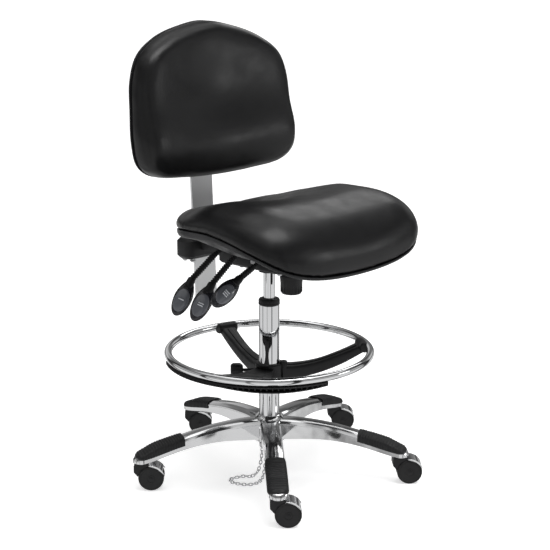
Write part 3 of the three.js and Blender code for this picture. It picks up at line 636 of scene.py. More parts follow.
# %% [markdown]
# The wheels come in pairs, one on each side of the web. Both are the same turned profile laid on the
# axle and facing out, so one function with a side, -1 or 1, makes either.
# %% Wheels
def wheel(side):
    r, w = AXLE_HEIGHT, WHEEL_WIDTH
    profile = [
        (3.3, 0), (r - 2, 0), (r - 0.5, 0.5), (r, 2), (r, w - 4), (r - 0.4, w - 2), (r - 1.4, w - 0.8),
        (r - 3, w - 0.35), (r - 4.2, w - 0.3), (r - 4.5, w - 0.9), (r - 5.1, w - 0.9), (r - 5.4, w - 0.3),
        (9.5, w - 0.1), (9.2, w - 0.7), (8.7, w - 0.7), (8.4, w - 0.2), (6, w), (3.3, w),
    ]
    return on_axle(turned(profile, 72, closed=True), side, WEB + 0.6)


def hub_cap(side):
    profile = [(0, -1.2), (5.2, -1.2), (5.4, 0.1), (4.6, 0.6), (2.4, 0.95), (0, 1.05)]
    return on_axle(turned(profile, 32), side, WEB + 0.6 + WHEEL_WIDTH)


def make_casters():
    for i in range(ARM_COUNT):
        n, matrix = i + 1, caster_matrix(i)
        body, housing = f"caster_{n}", f"caster_housing_{n}"
        make_piece(f"caster_body_{n}", caster_body(), NYLON, body, [housing], matrix, bevel=0.9)
        make_piece(f"caster_crescent_{n}", crescent(), CHROME, body, (), matrix, bevel=0.25)
        for side, word in ((-1, "near"), (1, "far")):
            node = f"caster_wheel_{n}_{word}"
            make_piece(f"wheel_{n}_{word}", wheel(side), TYRE, f"wheel_{n}_{word}", [node], matrix)
            make_piece(f"hub_cap_{n}_{word}", hub_cap(side), NYLON, f"wheel_{n}_{word}", (), matrix)
        refined(f"caster_stem_{n}", STEEL, "base", 0.0)
        refined(f"caster_axle_{n}", STEEL, body, 0.0)


make_casters()

# %% [markdown]
# The gas lift is three coaxial pieces: a chromed outer tube fixed in the hub, a black bush that
# guides the cylinder at its top, and the slimmer chromed cylinder that carries the seat.
# %% Gas lift
def make_lift():
    tube = [
        (5.3, 57), (21.6, 57), (23.6, 58), (24.8, 60), (25, 63), (25, 419), (24.7, 421.3), (24, 422), (22.6, 422),
        (22.6, 62), (5.3, 62),
    ]
    make_piece("column_outer", turned(tube, 96, closed=True), CHROME, "base", ["column_tube"])
    bush = [
        (14.3, 340), (22.3, 340), (22.3, 422.3), (25.2, 422.3), (25.9, 423), (25.9, 426), (25.2, 426.9),
        (25.2, 428.2), (25.8, 429), (25.6, 433), (24, 436), (21.5, 437), (14.3, 437),
    ]
    make_piece("column_guide", turned(bush, 96, closed=True), NYLON, "base", ["column_bush"])
    spring = [
        (6, 225), (12.8, 225), (13.7, 226), (14, 228), (14, 543.5), (12.6, 545), (4.3, 545), (4.3, 539),
        (0, 539), (0, 525), (6, 525),
    ]
    make_piece("gas_cylinder", turned(spring, 72, closed=True), CHROME, "lift", ["gas_spring"])
    refined("piston_rod", STEEL, "base", 0.0)
    refined("gas_release_pin", STEEL, "release_pin", 0.0)


make_lift()

# %% [markdown]
# The foot ring is a bent and welded tube, so a plain torus is right. Its black bracket has a sleeve
# on the column, two rising arms whose clamps hold the ring from inside and below, and a third that
# spreads into a crescent tread.
# %% Foot ring
RING_HEIGHT, RING_RADIUS, RING_TUBE = 306, 244.5, 9.5
ARM_ANGLES = (118, 13)
TREAD_MIDDLE, TREAD_HALF = 247, 56
ARM_LINE = [(28, 25, 238, 270), (60, 22, 235, 267), (120, 18, 243, 273), (180, 18, 262, 290), (232, 21, 288, 309)]


def torus(radius, tube, height, sides=192, round_sides=32):
    rings = []
    around = np.linspace(0, 2 * math.pi, round_sides, endpoint=False)
    section = [(radius + tube * math.cos(b), tube * math.sin(b)) for b in around]
    for a in np.linspace(0, 2 * math.pi, sides, endpoint=False):
        rings.append([(r * math.cos(a), r * math.sin(a), height + z) for r, z in section])
    return loft(rings, closed=True)


def rounded_section(w, low, high, radius):
    """Rounded rectangle as (y, z) points."""
    middles = [(w - radius, high - radius, 0), (-(w - radius), high - radius, 90), (-(w - radius), low + radius, 180)]
    middles.append((w - radius, low + radius, 270))
    points = []
    for y, z, start in middles:
        for a in np.radians(np.linspace(start, start + 90, 6)):
            points.append((y + radius * math.cos(a), z + radius * math.sin(a)))
    return points


def bracket_arm():
    rings = []
    for r, w, low, high in evenly(spline(ARM_LINE, 8), 40):
        rings.append([(r, y, z) for y, z in rounded_section(w, low, high, 7)])
    return loft(rings)


def arm_rib():
    """Stiffening rib that runs along the middle of an arm's top."""
    rings = []
    for r, w, low, high in evenly(spline(ARM_LINE, 8), 40)[2:-3]:
        rings.append([(r, y, z) for y, z in rounded_section(w * 0.34, high - 3, high + 2.2, 2)])
    return loft(rings)


def ring_clamp():
    """Clamp that holds the ring from inside and below."""
    rings = []
    for a in np.linspace(-6.5, 6.5, 19):
        edge = max(0.0, (abs(a) - 5.5) / 1.0)
        radius = RING_TUBE + 3.5 - 1.8 * edge**2
        ring = []
        for b in np.linspace(0, 2 * math.pi, 40, endpoint=False):
            r = RING_RADIUS - 8 + radius * math.cos(b)
            t = math.radians(a)
            ring.append((r * math.cos(t), r * math.sin(t), RING_HEIGHT - 3 + radius * math.sin(b)))
        rings.append(ring)
    return loft(rings)


print("clamp", len(ring_clamp()[1]), "faces")

# %% [markdown]
# The third arm is where the feet push off. It starts as narrow as the others and fans out into a
# crescent under the front of the ring. Its rings are given in degrees round the column, so its edges
# follow the ring. Small bars on its rim give grip.
# %% Tread
def tread():
    """Third arm: narrow at the column, wide and thin under the front of the ring."""
    top = RING_HEIGHT - RING_TUBE - 0.5
    stations = [
        (28, 50, 240, 266), (60, 26, 242, 268), (115, 16, 254, 276), (170, 17, 270, 287), (205, 24, 280, 293),
        (225, 48, 285, top - 1), (233, TREAD_HALF, 286, top), (247, TREAD_HALF, 286, top),
        (251, TREAD_HALF - 0.6, 287.5, top - 2), (252, TREAD_HALF - 1.4, 290, top - 4),
    ]
    rings = []
    for r, half, low, high in stations:
        angles = np.linspace(half, -half, 49)
        ring = [(r, a, high) for a in angles]
        for a in angles[::-1]:
            swell = 6 * math.sin(math.pi * min(1.0, max(0.0, (a + 2) / 58))) if r > 200 else 0
            ring.append((r, a, low - swell))
        rings.append([polar(r0, TREAD_MIDDLE + a, z) for r0, a, z in ring])
    return loft(rings)


def polar(r, degrees, z):
    t = math.radians(degrees)
    return (r * math.cos(t), r * math.sin(t), z)


def tread_ribs():
    """Grip ribs across the tread, one bar for each step round the ring."""
    bars = []
    for a in np.arange(TREAD_MIDDLE - TREAD_HALF + 3, TREAD_MIDDLE + TREAD_HALF - 2, 3.0):
        rings = []
        for r in (249.5, 252.4):
            corners = [(-0.32, 288.5), (0.32, 288.5), (0.32, 292.6), (-0.32, 292.6)]
            rings.append([polar(r, a + d, z) for d, z in corners])
        bars.append(loft(rings))
    return together(*bars)


def make_footring():
    make_piece("ring_tube", torus(RING_RADIUS, RING_TUBE, RING_HEIGHT), CHROME, "footring", ["footring_tube"], BASE)
    collar = turned(
        [(25.4, 236), (32.5, 236), (34, 237.5), (34, 274), (32.6, 275.7), (30.5, 276), (25.4, 276)], 72, closed=True
    )
    post = turned([(0, 256), (9, 256), (9, 280), (8.2, 281.6), (6.5, 282), (0, 282)], 32)
    parts = [collar, moved(post, Matrix.Translation((34.5, -8, 0))), tread(), tread_ribs()]
    for angle in ARM_ANGLES:
        spin = Matrix.Rotation(math.radians(angle), 4, "Z")
        parts += [moved(bracket_arm(), spin), moved(arm_rib(), spin), moved(ring_clamp(), spin)]
    make_piece("ring_bracket", together(*parts), NYLON, "footring", ["footring_bracket"], BASE, crease=38)


make_footring()

# %% [markdown]
# Hand knobs have grip flutes. A tree places one small ridge per step round a circle, and the turned
# body of the knob joins them.
# %% Knobs
def flutes_tree():
    t = Tree("grip_flutes", Count=18, Radius=0.02, Length=0.02, Thickness=0.0011)
    circle = t.node("GeometryNodeMeshCircle", Vertices=t.input("Count"), Radius=t.input("Radius"))
    ridge = t.node("GeometryNodeMeshCylinder", Vertices=8, Radius=t.input("Thickness"), Depth=t.input("Length"))
    joined = t.node("GeometryNodeJoinGeometry", Geometry=t.copies(circle.outputs[0], ridge.outputs["Mesh"]))
    t.group.links.new(t.input("Geometry"), joined.inputs[0])
    return t.end(joined.outputs[0], NYLON)


FLUTES = flutes_tree()


def make_knob(name, profile, grip, body, node, matrix):
    """grip is (count, radius, low, high, ridge radius) in millimetres along the knob's own axis."""
    count, radius, low, high, ridge = grip
    middle = (low + high) / 2
    mesh = finish_mesh(mesh_of(name, moved(turned(profile, 56), Matrix.Translation((0, 0, -middle)))))
    sizes = {"Radius": radius * MM, "Length": (high - low) * MM, "Thickness": ridge * MM}
    made = grown(name, mesh, FLUTES, Count=count, **sizes)
    place = Matrix.Translation(matrix.translation * MM) @ matrix.to_3x3().to_4x4()
    made.transform(place @ Matrix.Translation((0, 0, middle * MM)))
    return dress(name, smoothed(made, 32), NYLON, body, [node])


FOOT_KNOB = BASE @ Matrix.Rotation(math.radians(184), 4, "Z") @ Matrix.Translation((0, 0, 257))
FOOT_KNOB = FOOT_KNOB @ Matrix.Rotation(math.pi / 2, 4, "Y")
KNOB_FORWARD, LOCK_HEIGHT, BACK_LEAN = 73, 530, math.radians(2.5)


def bar_y(z):
    """Y of the back bar's middle at a height."""
    return 222 + (z - 395) * math.tan(BACK_LEAN)


def make_knobs():
    foot = [
        (0, 27.5), (4, 27.5), (4, 64), (11.5, 64), (14, 66), (16.3, 70), (16.3, 89), (15, 92.5), (12.5, 94), (0, 94),
    ]
    make_knob("foot_ring_knob", foot, (14, 16.2, 70, 89, 1.3), "footring_knob", "footring_knob", FOOT_KNOB)
    tension = [
        (0, 461), (19.5, 461), (22, 461.8), (23.6, 463.6), (27.4, 503), (27, 506), (25.4, 508.6), (23.5, 509),
        (4, 509), (4, 540), (0, 540),
    ]
    make_knob("tension_grip", tension, (20, 24.9, 466, 500, 1.2), "tension_knob", "tension_knob",
              Matrix.Translation((0, -KNOB_FORWARD, 0)))
    start = bar_y(LOCK_HEIGHT) + 3.6
    face = 260 - start
    lock = [(0, 0), (4, 0), (4, face + 1), (15, face + 1), (19, face + 3), (20.3, face + 6), (20.3, face + 17),
            (18.6, face + 21), (16, face + 22.6), (0, face + 23)]
    make_knob("back_lock_grip", lock, (18, 20.2, face + 5, face + 18, 1.2), "back_lock_knob", "back_lock_knob",
              Matrix.Translation((0, start, LOCK_HEIGHT)) @ Matrix.Rotation(-math.pi / 2, 4, "X"))


make_knobs()

# %% [markdown]
# The tilt mechanism, its pins, the saddle plate and the back arm keep the model's own shapes: their
# slots and bores are working surfaces. They only get eased edges, smooth round faces and a finish.
# %% Mechanism
for node, material, body, bevel in (
    ("mechanism_housing", NYLON, "mechanism", 1.2), ("seat_pivot_pin", STEEL, "mechanism", 0.0),
    ("back_pivot_pin", STEEL, "mechanism", 0.0), ("seat_plate", STEEL, "seat", 0.5),
    ("back_arm", NYLON, "back_arm", 1.5), ("back_bar", BRUSHED, "backrest", 1.2),
):
    refined(node, material, body, bevel)

# %% [markdown]
# Three levers hang from the sitter's right of the mechanism. Each has a corrugated stem, made by
# sweeping a circle whose size rises and falls along the path, and an egg-shaped paddle with a glossy
# inlay. The inlay carries a plain mark of short bars, one more on each lever.
# %% Levers
LEVERS = [
    {"y": 90, "stem": [(-72.5, 553), (-98, 541), (-134, 518), (-168, 496), (-190, 478)], "end": (-222, 420)},
    {"y": 30, "stem": [(-72.5, 551), (-92, 542), (-126, 518), (-160, 493), (-184, 476)], "end": (-219, 418)},
    {"y": -35, "stem": [(-72.5, 538), (-90, 532), (-112, 523), (-134, 513), (-152, 504)], "end": (-217, 465)},
]


def bellows_tree():
    t = Tree("bellows", Radius=0.0069, Swell=0.17, Pitch=0.0064, Widening=10.0, Step=0.0006)
    path = t.node("GeometryNodeMeshToCurve", Mesh=t.input("Geometry"))
    fine = t.node("GeometryNodeResampleCurve", _mode="LENGTH", Curve=path.outputs[0], Length=t.input("Step"))
    run = t.node("GeometryNodeSplineParameter").outputs["Length"]
    wave = t.math("SINE", t.math("MULTIPLY", t.math("DIVIDE", run, t.input("Pitch")), 2 * math.pi))
    taper = t.math("MINIMUM", t.math("ADD", t.math("MULTIPLY", run, t.input("Widening")), 0.68), 1.0)
    size = t.math("MULTIPLY", t.math("ADD", t.math("MULTIPLY", wave, t.input("Swell")), 1.0), taper)
    section = t.node("GeometryNodeCurvePrimitiveCircle", Resolution=20, Radius=t.input("Radius"))
    skin = t.node(
        "GeometryNodeCurveToMesh", Curve=fine.outputs[0], Profile_Curve=section.outputs[0], Scale=size, Fill_Caps=True
    )
    return t.end(skin.outputs[0], NYLON)


BELLOWS = bellows_tree()
print("stem tree", len(BELLOWS.nodes), "nodes")

# %% [markdown]
# A paddle is an egg flattened front to back. Its inlay follows the same surface a little higher, so
# both use one rule for how the egg slims towards its neck. A collar joins it to the stem.
# %% Paddles
def slimming(share):
    """Girth of the paddle, by the distance from its middle: less towards the neck."""
    return 1 - 0.28 * max(0.0, -share) ** 1.5


def egg(across, along, deep):
    """Egg about the origin, long axis Y, slimmer and drawn out to a neck at -Y."""
    rings = []
    for a in np.linspace(-math.pi / 2, math.pi / 2, 41):
        s, c = math.sin(a), math.cos(a)
        girth = c * slimming(s)
        rings.append([(deep * girth * math.cos(b), along * s, across * girth * math.sin(b))
                      for b in np.linspace(0, 2 * math.pi, 48, endpoint=False)])
    return loft(rings)


def oval_cap(across, along, middle, rise, deep, paddle_across, paddle_along):
    """Inlay that follows the egg's broad side and stands a little proud of it."""
    rings = []
    for s in (1.0, 1.0, 0.97, 0.9, 0.7, 0.45, 0.2, 0.02):
        lift = -1.5 if not rings else rise * (0.25 if s == 1.0 else 1.0)
        ring = []
        for b in np.linspace(0, 2 * math.pi, 56, endpoint=False):
            y, z = middle + along * s * math.cos(b), across * s * math.sin(b)
            v = y / paddle_along
            girth = slimming(v)
            body = math.sqrt(max(0.02, 1 - v * v - (z / (paddle_across * girth)) ** 2))
            ring.append((-(deep * girth * body + lift), y, z))
        rings.append(ring)
    return loft(rings)


def mark_bars(count, height):
    """Short raised bars across the inlay, evenly spaced."""
    bars = []
    for k in range(count):
        y = 8 + (k - (count - 1) / 2) * 5.2
        outline = [(y - 1.1, -6.5), (y + 1.1, -6.5), (y + 1.1, 6.5), (y - 1.1, 6.5)]
        bars.append(loft([[(x, v, w) for v, w in outline] for x in (-height, -height - 1.4)]))
    return together(*bars)


def paddle_matrix(lever):
    neck, end, y = lever["stem"][-2], lever["end"], lever["y"]
    axis = Vector((end[0] - neck[0], 0, end[1] - neck[1]))
    middle = Vector(((neck[0] + end[0]) / 2, y, (neck[1] + end[1]) / 2))
    turn = Vector((0, 1, 0)).rotation_difference(axis.normalized()).to_matrix().to_4x4()
    return Matrix.Translation(middle) @ turn, axis.length / 2


def make_levers():
    for k, lever in enumerate(LEVERS, 1):
        path = spline([(x * MM, lever["y"] * MM, z * MM) for x, z in lever["stem"]], 12)
        mesh = smoothed(grown("stem_source", line_mesh("stem_path", path), BELLOWS))
        dress(f"lever_{k}_bellows", mesh, NYLON, f"lever_{k}", [f"lever_stem_{k}"])
        matrix, along = paddle_matrix(lever)
        make_piece(f"lever_{k}_grip", egg(22, along, 12), GLOSS, f"lever_{k}", [f"lever_paddle_{k}"], matrix)
        inlay = oval_cap(17.5, 28, 9, 0.6, 12, 22, along)
        make_piece(f"lever_{k}_inlay", inlay, INLAY, f"lever_{k}", (), matrix)
        make_piece(f"lever_{k}_mark", mark_bars(k, 11.9), MARK, f"lever_{k}", (), matrix)
        neck = [(5.6, -7), (8.6, -5), (9.6, -1), (9.9, 6), (11.4, 13), (11.2, 18), (8, 21), (5.6, 22)]
        place = matrix @ Matrix.Translation((0, -along + 2, 0)) @ Matrix.Rotation(-math.pi / 2, 4, "X")
        make_piece(f"lever_{k}_neck", moved(turned(neck, 40, closed=True), place), NYLON, f"lever_{k}")


make_levers()

# %% [markdown]
# The seat and backrest are foam on a moulded shell under tightly drawn vinyl. Their plan is a closed
# outline, and every ring of the loft is that outline, scaled, at its own height. The shells are
# built straight from the rings.
# %% Seat and back outlines
SEAT_HALF_WIDTH, SEAT_REAR, SEAT_FRONT, SEAT_TAPER = 261, 180, -289, 0.26
SEAT_SEAM, SEAT_CROWN, SEAT_PAN_BOTTOM = 611, 660, 570.4
BACK_MIDDLE = 900
BACK_OUTLINE = [
    (0, 186), (70, 176), (154, 151), (217, 109), (242, 53), (247, -18), (250, -90), (240, -140), (205, -167),
    (110, -180), (0, -185),
]


def seat_outline(t, scale):
    middle, half = (SEAT_REAR + SEAT_FRONT) / 2, (SEAT_REAR - SEAT_FRONT) / 2
    c, s = math.cos(t), math.sin(t)
    power = 2 / (4.4 - 2.2 * (s + 1) / 2)
    y = half * math.copysign(abs(s) ** power, s)
    x = SEAT_HALF_WIDTH * math.copysign(abs(c) ** power, c) * (1 - SEAT_TAPER * y / 450)
    return x * scale, middle + y * scale


def seam_height(x, y):
    drop = 116 * max(0.0, -y / 350) ** 2.5
    return SEAT_SEAM - 0.038 * y - drop + 26 * min(1.0, abs(x) / SEAT_HALF_WIDTH) ** 2


def crown_height(x, y):
    rise = min(1.0, max(0.12, (130 - y) / 180))
    side = min(1.0, abs(x) / 200) ** 2
    dome = 40 * (0.82 + 0.18 * side) - 8 * max(0.0, abs(x) / 100 - 1.4) ** 2
    corner = 6 * side * min(1.0, max(0.0, (y - 40) / 80))
    front = 35 * max(0.0, (-y - 130) / 150) ** 2
    bowl = 30 * math.exp(-((x / 105) ** 2) - ((y - 60) / 112) ** 2)
    return SEAT_CROWN + dome * rise + corner - front - bowl


def seat_ring(scale, height, sides=160):
    fine = [seat_outline(t, 1) for t in np.linspace(0, 2 * math.pi, 1440, endpoint=False)]
    middle = (SEAT_REAR + SEAT_FRONT) / 2
    ring = []
    for x1, y1 in evenly(fine, sides, closed=True):
        x, y = x1 * scale, middle + (y1 - middle) * scale
        ring.append((x, y, height(x, y, seam_height(x1, y1))))
    return ring


print("crown at the middle", round(crown_height(0, 0)), "front", round(crown_height(0, -250)))

# %% [markdown]
# The back's outline is half of a closed curve and its mirror image. The pad bulges most at the
# lumbar, and is hollow above it. The rear follows the lean of the bar.
# %% Back outline
BACK_ROUND = BACK_OUTLINE + [(-x, z) for x, z in BACK_OUTLINE[-2:0:-1]]
BACK_EDGE = evenly(spline(BACK_ROUND, 16, closed=True), 160, closed=True)
print("outlines,", len(BACK_EDGE), "points round the back")


def back_rear(x, z):
    bend = 17 * (x / 235) ** 2 + 10 * (min(z, 0.0) / 185) ** 2
    return bar_y(BACK_MIDDLE) - 4 + math.tan(BACK_LEAN) * z - bend


def back_ring(scale, forward):
    return [(x * scale, back_rear(x * scale, z * scale) - forward(x * scale, z * scale), BACK_MIDDLE + z * scale)
            for x, z in BACK_EDGE]


def back_depth(depth):
    def at(x, z):
        share = max(0.0, (depth - 25) / 51)
        lumbar = 18 * math.exp(-(((z + 85) / 80) ** 2))
        hollow = 14 * math.exp(-((x / 120) ** 2) - ((z - 10) / 110) ** 2)
        return depth + share * (lumbar - hollow)
    return at


# %% [markdown]
# The shells close the cushions from below and behind. Each has a rounded lip that stops just short of
# the vinyl, so a thin dark seam shows all round.
# %% Shells
def make_shells():
    lip = evenly(spline([(0.972, 0), (0.987, 0.8), (0.99, 4), (0.982, 13), (0.955, 19), (0.86, 24)], 6), 24)
    rings = [seat_ring(s, lambda x, y, seam: SEAT_SEAM - 1) for s in (0.02, 0.2)]
    for scale, depth in lip:
        rings.append(seat_ring(scale, lambda x, y, seam: seam - depth * (1 - 0.55 * min(1.0, max(0.0, -y / 280)))))
    rings += [seat_ring(s, lambda x, y, seam: SEAT_PAN_BOTTOM) for s in (0.58, 0.56, 0.2, 0.02)]
    make_piece("seat_pan", loft(rings), NYLON, "seat", ["seat_shell"], crease=28)
    profile = evenly(spline([(0.86, 3), (0.94, 6), (0.985, 12), (0.99, 17.4), (0.972, 19)], 6), 20)
    rings = [back_ring(s, lambda x, z: 3) for s in (0.02, 0.3, 0.6, 0.8)]
    rings += [back_ring(s, lambda x, z: d) for s, d in profile]
    rings += [back_ring(s, lambda x, z: 19) for s in (0.6, 0.02)]
    make_piece("back_cover", loft(rings), NYLON, "backrest", ["back_shell"], crease=28)


make_shells()

# %% [markdown]
# Foam under vinyl swells most where nothing holds it. The cushions start a little slim, are remeshed
# to even faces, and a short cloth simulation with air pressure inside and no gravity fills them out.
# The underside is pinned to the shell. How far any point may move is capped, so the pad keeps to its
# own space. Cloth also crumples along the edges. The vinyl here is drawn tight, so each move is then
# evened out with its neighbours' before it is applied.
# %% Cushions
VOXEL, SMOOTH_PASSES = 6.0, 8  # millimetres, rounds
PRESSURE, STEPS, SWELL_CAP, EVENING_PASSES = 4.0, 20, 3.0, 40


def relaxed(mesh):
    """Even faces by voxel remesh, then smoothed so that no steps show."""
    holder = linked("foam", mesh)
    remesh = holder.modifiers.new("even", "REMESH")
    remesh.mode, remesh.voxel_size = "VOXEL", VOXEL * MM
    smooth = holder.modifiers.new("soft", "SMOOTH")
    smooth.factor, smooth.iterations = 0.5, SMOOTH_PASSES
    return baked(holder)


def evened(move, mesh, held):
    """Spread each point's move over its neighbours, so that tight vinyl shows no crumples."""
    edges = np.array([e.vertices[:] for e in mesh.edges])
    count = np.bincount(edges.ravel(), minlength=len(move))[:, None]
    for _ in range(EVENING_PASSES):
        total = np.zeros_like(move)
        np.add.at(total, edges[:, 0], move[edges[:, 1]])
        np.add.at(total, edges[:, 1], move[edges[:, 0]])
        move = 0.5 * move + 0.5 * total / count
        move[held] = 0
    return move


def inflated(mesh, pinned):
    """Cloth with air pressure; pinned(point) says which points stay."""
    start = np.array([v.co for v in mesh.vertices])
    holder = linked("skin", mesh)
    group = holder.vertex_groups.new(name="held")
    held = [v.index for v in mesh.vertices if pinned(v.co)]
    group.add(held, 1.0, "REPLACE")
    cloth = holder.modifiers.new("cloth", "CLOTH")
    settings = cloth.settings
    settings.quality, settings.mass, settings.air_damping = 6, 0.25, 2.0
    settings.tension_stiffness = settings.compression_stiffness = 40
    settings.shear_stiffness, settings.bending_stiffness = 12, 4
    settings.use_pressure, settings.uniform_pressure_force = True, PRESSURE
    settings.effector_weights.gravity = 0.0
    settings.vertex_group_mass = "held"
    cloth.point_cache.frame_start, cloth.point_cache.frame_end = 1, STEPS
    for step in range(1, STEPS + 1):
        scene.frame_set(step)
    result = baked(holder)
    move = np.array([v.co for v in result.vertices]) - start
    size = np.linalg.norm(move, axis=1, keepdims=True)
    move = evened(move * np.minimum(1.0, SWELL_CAP * MM / np.maximum(size, 1e-9)), result, held)
    result.vertices.foreach_set("co", (start + move).ravel())
    scene.frame_set(1)
    print("swell, mean mm", round(float(size.mean() / MM), 2), "largest", round(float(size.max() / MM), 2))
    return result


print("voxels of", VOXEL, "mm, moves of at most", SWELL_CAP, "mm")

# %% [markdown]
# Each cushion starts as a loft. The seat's section goes from the seam up over the side to the crown,
# and the share of the way up is blended between those two surfaces. The back's section goes forward
# from the seam. A subdivision at the end makes the even mesh smooth.
# %% Cushion shapes
def cushion(name, rings, node, body, pinned):
    mesh = relaxed(finish_mesh(mesh_of(name, loft(rings))))
    mesh = inflated(mesh, pinned)
    piece = dress(name, smoothed(mesh), VINYL, body, [node])
    subdivide = piece.modifiers.new("even", "SUBSURF")
    subdivide.levels = subdivide.render_levels = 1


def cushion_height(x, y, seam, share):
    """Height between the seam and the crown; the rear corners are fuller."""
    fuller = share ** (1 - 0.35 * min(1.0, max(0.0, (y - 50) / 90)))
    return (seam - 0.6) * (1 - fuller) + crown_height(x, y) * fuller


def make_cushions():
    section = [
        (0.984, 0), (1, 0.09), (1.003, 0.27), (0.982, 0.52), (0.935, 0.74), (0.86, 0.89), (0.76, 0.97), (0.62, 0.998),
    ]
    rings = [seat_ring(s, lambda x, y, seam: SEAT_SEAM) for s in (0.02, 0.2)]
    for scale, share in evenly(spline(section, 8), 44):
        rings.append(seat_ring(scale, lambda x, y, seam: cushion_height(x, y, seam, share)))
    rings += [seat_ring(s, lambda x, y, seam: crown_height(x, y)) for s in (0.6, 0.5, 0.4, 0.3, 0.2, 0.1, 0.02)]
    cushion(
        "seat_cushion_vinyl", rings, "seat_cushion", "seat",
        lambda p: p.z < seam_height(p.x / MM, p.y / MM) * MM + 0.004,
    )
    section = [(0.982, 18.6), (0.997, 24), (1.0, 40), (0.985, 56), (0.93, 68), (0.84, 73.5), (0.6, 75.5)]
    rings = [back_ring(s, lambda x, z: 19.8) for s in (0.02, 0.5)]
    rings += [back_ring(s, back_depth(d)) for s, d in evenly(spline(section, 8), 44)]
    rings += [back_ring(s, back_depth(75.8)) for s in (0.5, 0.4, 0.3, 0.2, 0.1, 0.02)]
    cushion(
        "back_cushion_vinyl", rings, "back_cushion", "backrest",
        lambda p: p.y / MM > back_rear(p.x / MM, p.z / MM - BACK_MIDDLE) - 24,
    )


make_cushions()

# %% [markdown]
# Small hex bolts hold the plates. A tree places one bolt head with its washer on each marked point
# and turns it to the direction stored there.
# %% Bolts
def bolts_tree():
    t = Tree("hex_bolts", Across=0.0052, Height=0.0036, Washer=0.0075)
    head = t.node("GeometryNodeMeshCylinder", Vertices=6, Radius=t.input("Across"), Depth=t.input("Height"))
    lift = t.node("ShaderNodeCombineXYZ", Z=t.math("ADD", t.math("MULTIPLY", t.input("Height"), 0.5), 0.0012))
    raised = t.node("GeometryNodeTransform", Geometry=head.outputs["Mesh"], Translation=lift.outputs[0])
    ring = t.node("GeometryNodeMeshCylinder", Vertices=28, Radius=t.input("Washer"), Depth=0.0012)
    seat = t.node("GeometryNodeTransform", Geometry=ring.outputs["Mesh"], Translation=(0, 0, 0.0006))
    bolt = t.node("GeometryNodeJoinGeometry", Geometry=raised.outputs[0])
    t.group.links.new(seat.outputs[0], bolt.inputs[0])
    aim = t.node("GeometryNodeInputNamedAttribute", _data_type="FLOAT_VECTOR", Name="aim")
    turn = t.node("FunctionNodeAlignRotationToVector", _axis="Z", Vector=aim.outputs[0])
    return t.end(t.copies(t.input("Geometry"), bolt.outputs[0], Rotation=turn.outputs[0]), STEEL)


def make_bolts(name, body, points, tree):
    """points are (x, y, z, direction) in millimetres."""
    mesh = bpy.data.meshes.new(name)
    mesh.from_pydata([tuple(c * MM for c in p[:3]) for p in points], [], [])
    aims = mesh.attributes.new("aim", "FLOAT_VECTOR", "POINT")
    aims.data.foreach_set("vector", [c for p in points for c in p[3]])
    dress(name, finish_mesh(grown(name, mesh, tree), 30), STEEL, body)


BOLTS = bolts_tree()
DOWN, BACKWARDS = (0, 0, -1), (0, 1, 0)
make_bolts("seat_bolts", "seat", [(x, y, 566, DOWN) for x in (-84, 84) for y in (-76, 60)], BOLTS)
make_bolts("back_bolts", "backrest", [(x, bar_y(z) + 3, z, BACKWARDS) for x in (-20, 20) for z in (770, 850)], BOLTS)
make_bolts("bracket_bolts", "back_arm", [(x, y, 503, DOWN) for x in (-48, 48) for y in (218, 246)], BOLTS)
make_bolts("housing_bolts", "mechanism", [(x, y, 520, DOWN) for x in (-52, 52) for y in (-84, 40)], BOLTS)

# %% [markdown]
# The chair stands on a plain pale floor under soft light from above. The floor glows a little, so it
# stays even out to the horizon. Chrome shows its shape by what it reflects, and a plain white room
# would leave it blank. So the surroundings have a dark horizon and dark upright stripes, as a studio
# gets with black flags, while the eye still sees plain white. The floor hides from reflections.
# %% Floor
FLOOR_REACH, FLOOR_GAP = 150, 0.0006  # metres


def make_floor():
    mesh = bpy.data.meshes.new("floor")
    corners = [(x * FLOOR_REACH, y * FLOOR_REACH, 0) for x, y in ((-1, -1), (1, -1), (1, 1), (-1, 1))]
    mesh.from_pydata(corners, [], [(0, 1, 2, 3)])
    floor = linked("floor", mesh)
    floor.location.z = -FLOOR_GAP
    floor.visible_glossy = False
    paint = bpy.data.materials.new("pale_floor")
    paint.use_nodes = True
    shader = paint.node_tree.nodes["Principled BSDF"]
    shader.inputs["Base Color"].default_value = (0.9, 0.9, 0.9, 1)
    shader.inputs["Roughness"].default_value = 0.9
    shader.inputs["Specular IOR Level"].default_value = 0.05
    shader.inputs["Emission Color"].default_value = (1, 1, 1, 1)
    shader.inputs["Emission Strength"].default_value = 0.6
    mesh.materials.append(paint)
    print("floor", 2 * FLOOR_REACH, "m across")


make_floor()

# %% [markdown]
# The surroundings are two ramps multiplied: one goes up from below the floor to overhead, the other
# goes round the chair and holds the dark stripes. A mix by light path shows the camera plain white.
# %% Surroundings
# (elevation in degrees, brightness) and (degrees to the right of the camera, half width, brightness)
SKY = [
    (-90, 0.8), (-28, 0.8), (-4, 0.72), (-2, 0.14), (5, 0.12), (8, 0.6), (17, 0.5), (24, 0.16), (38, 0.2),
    (52, 0.75), (90, 0.95),
]
STRIPES = [(-132, 9, 0.12), (-74, 3.5, 0.08), (-22, 2.5, 0.35), (30, 4.5, 0.06), (128, 8, 0.1), (170, 12, 0.35)]


def ramp(nodes, stops):
    made = nodes.new("ShaderNodeValToRGB")
    for k, (position, grey) in enumerate(sorted(stops)):
        elements = made.color_ramp.elements
        element = elements[k] if k < 2 else elements.new(position)
        element.position, element.color = position, (grey, grey, grey, 1)
    return made


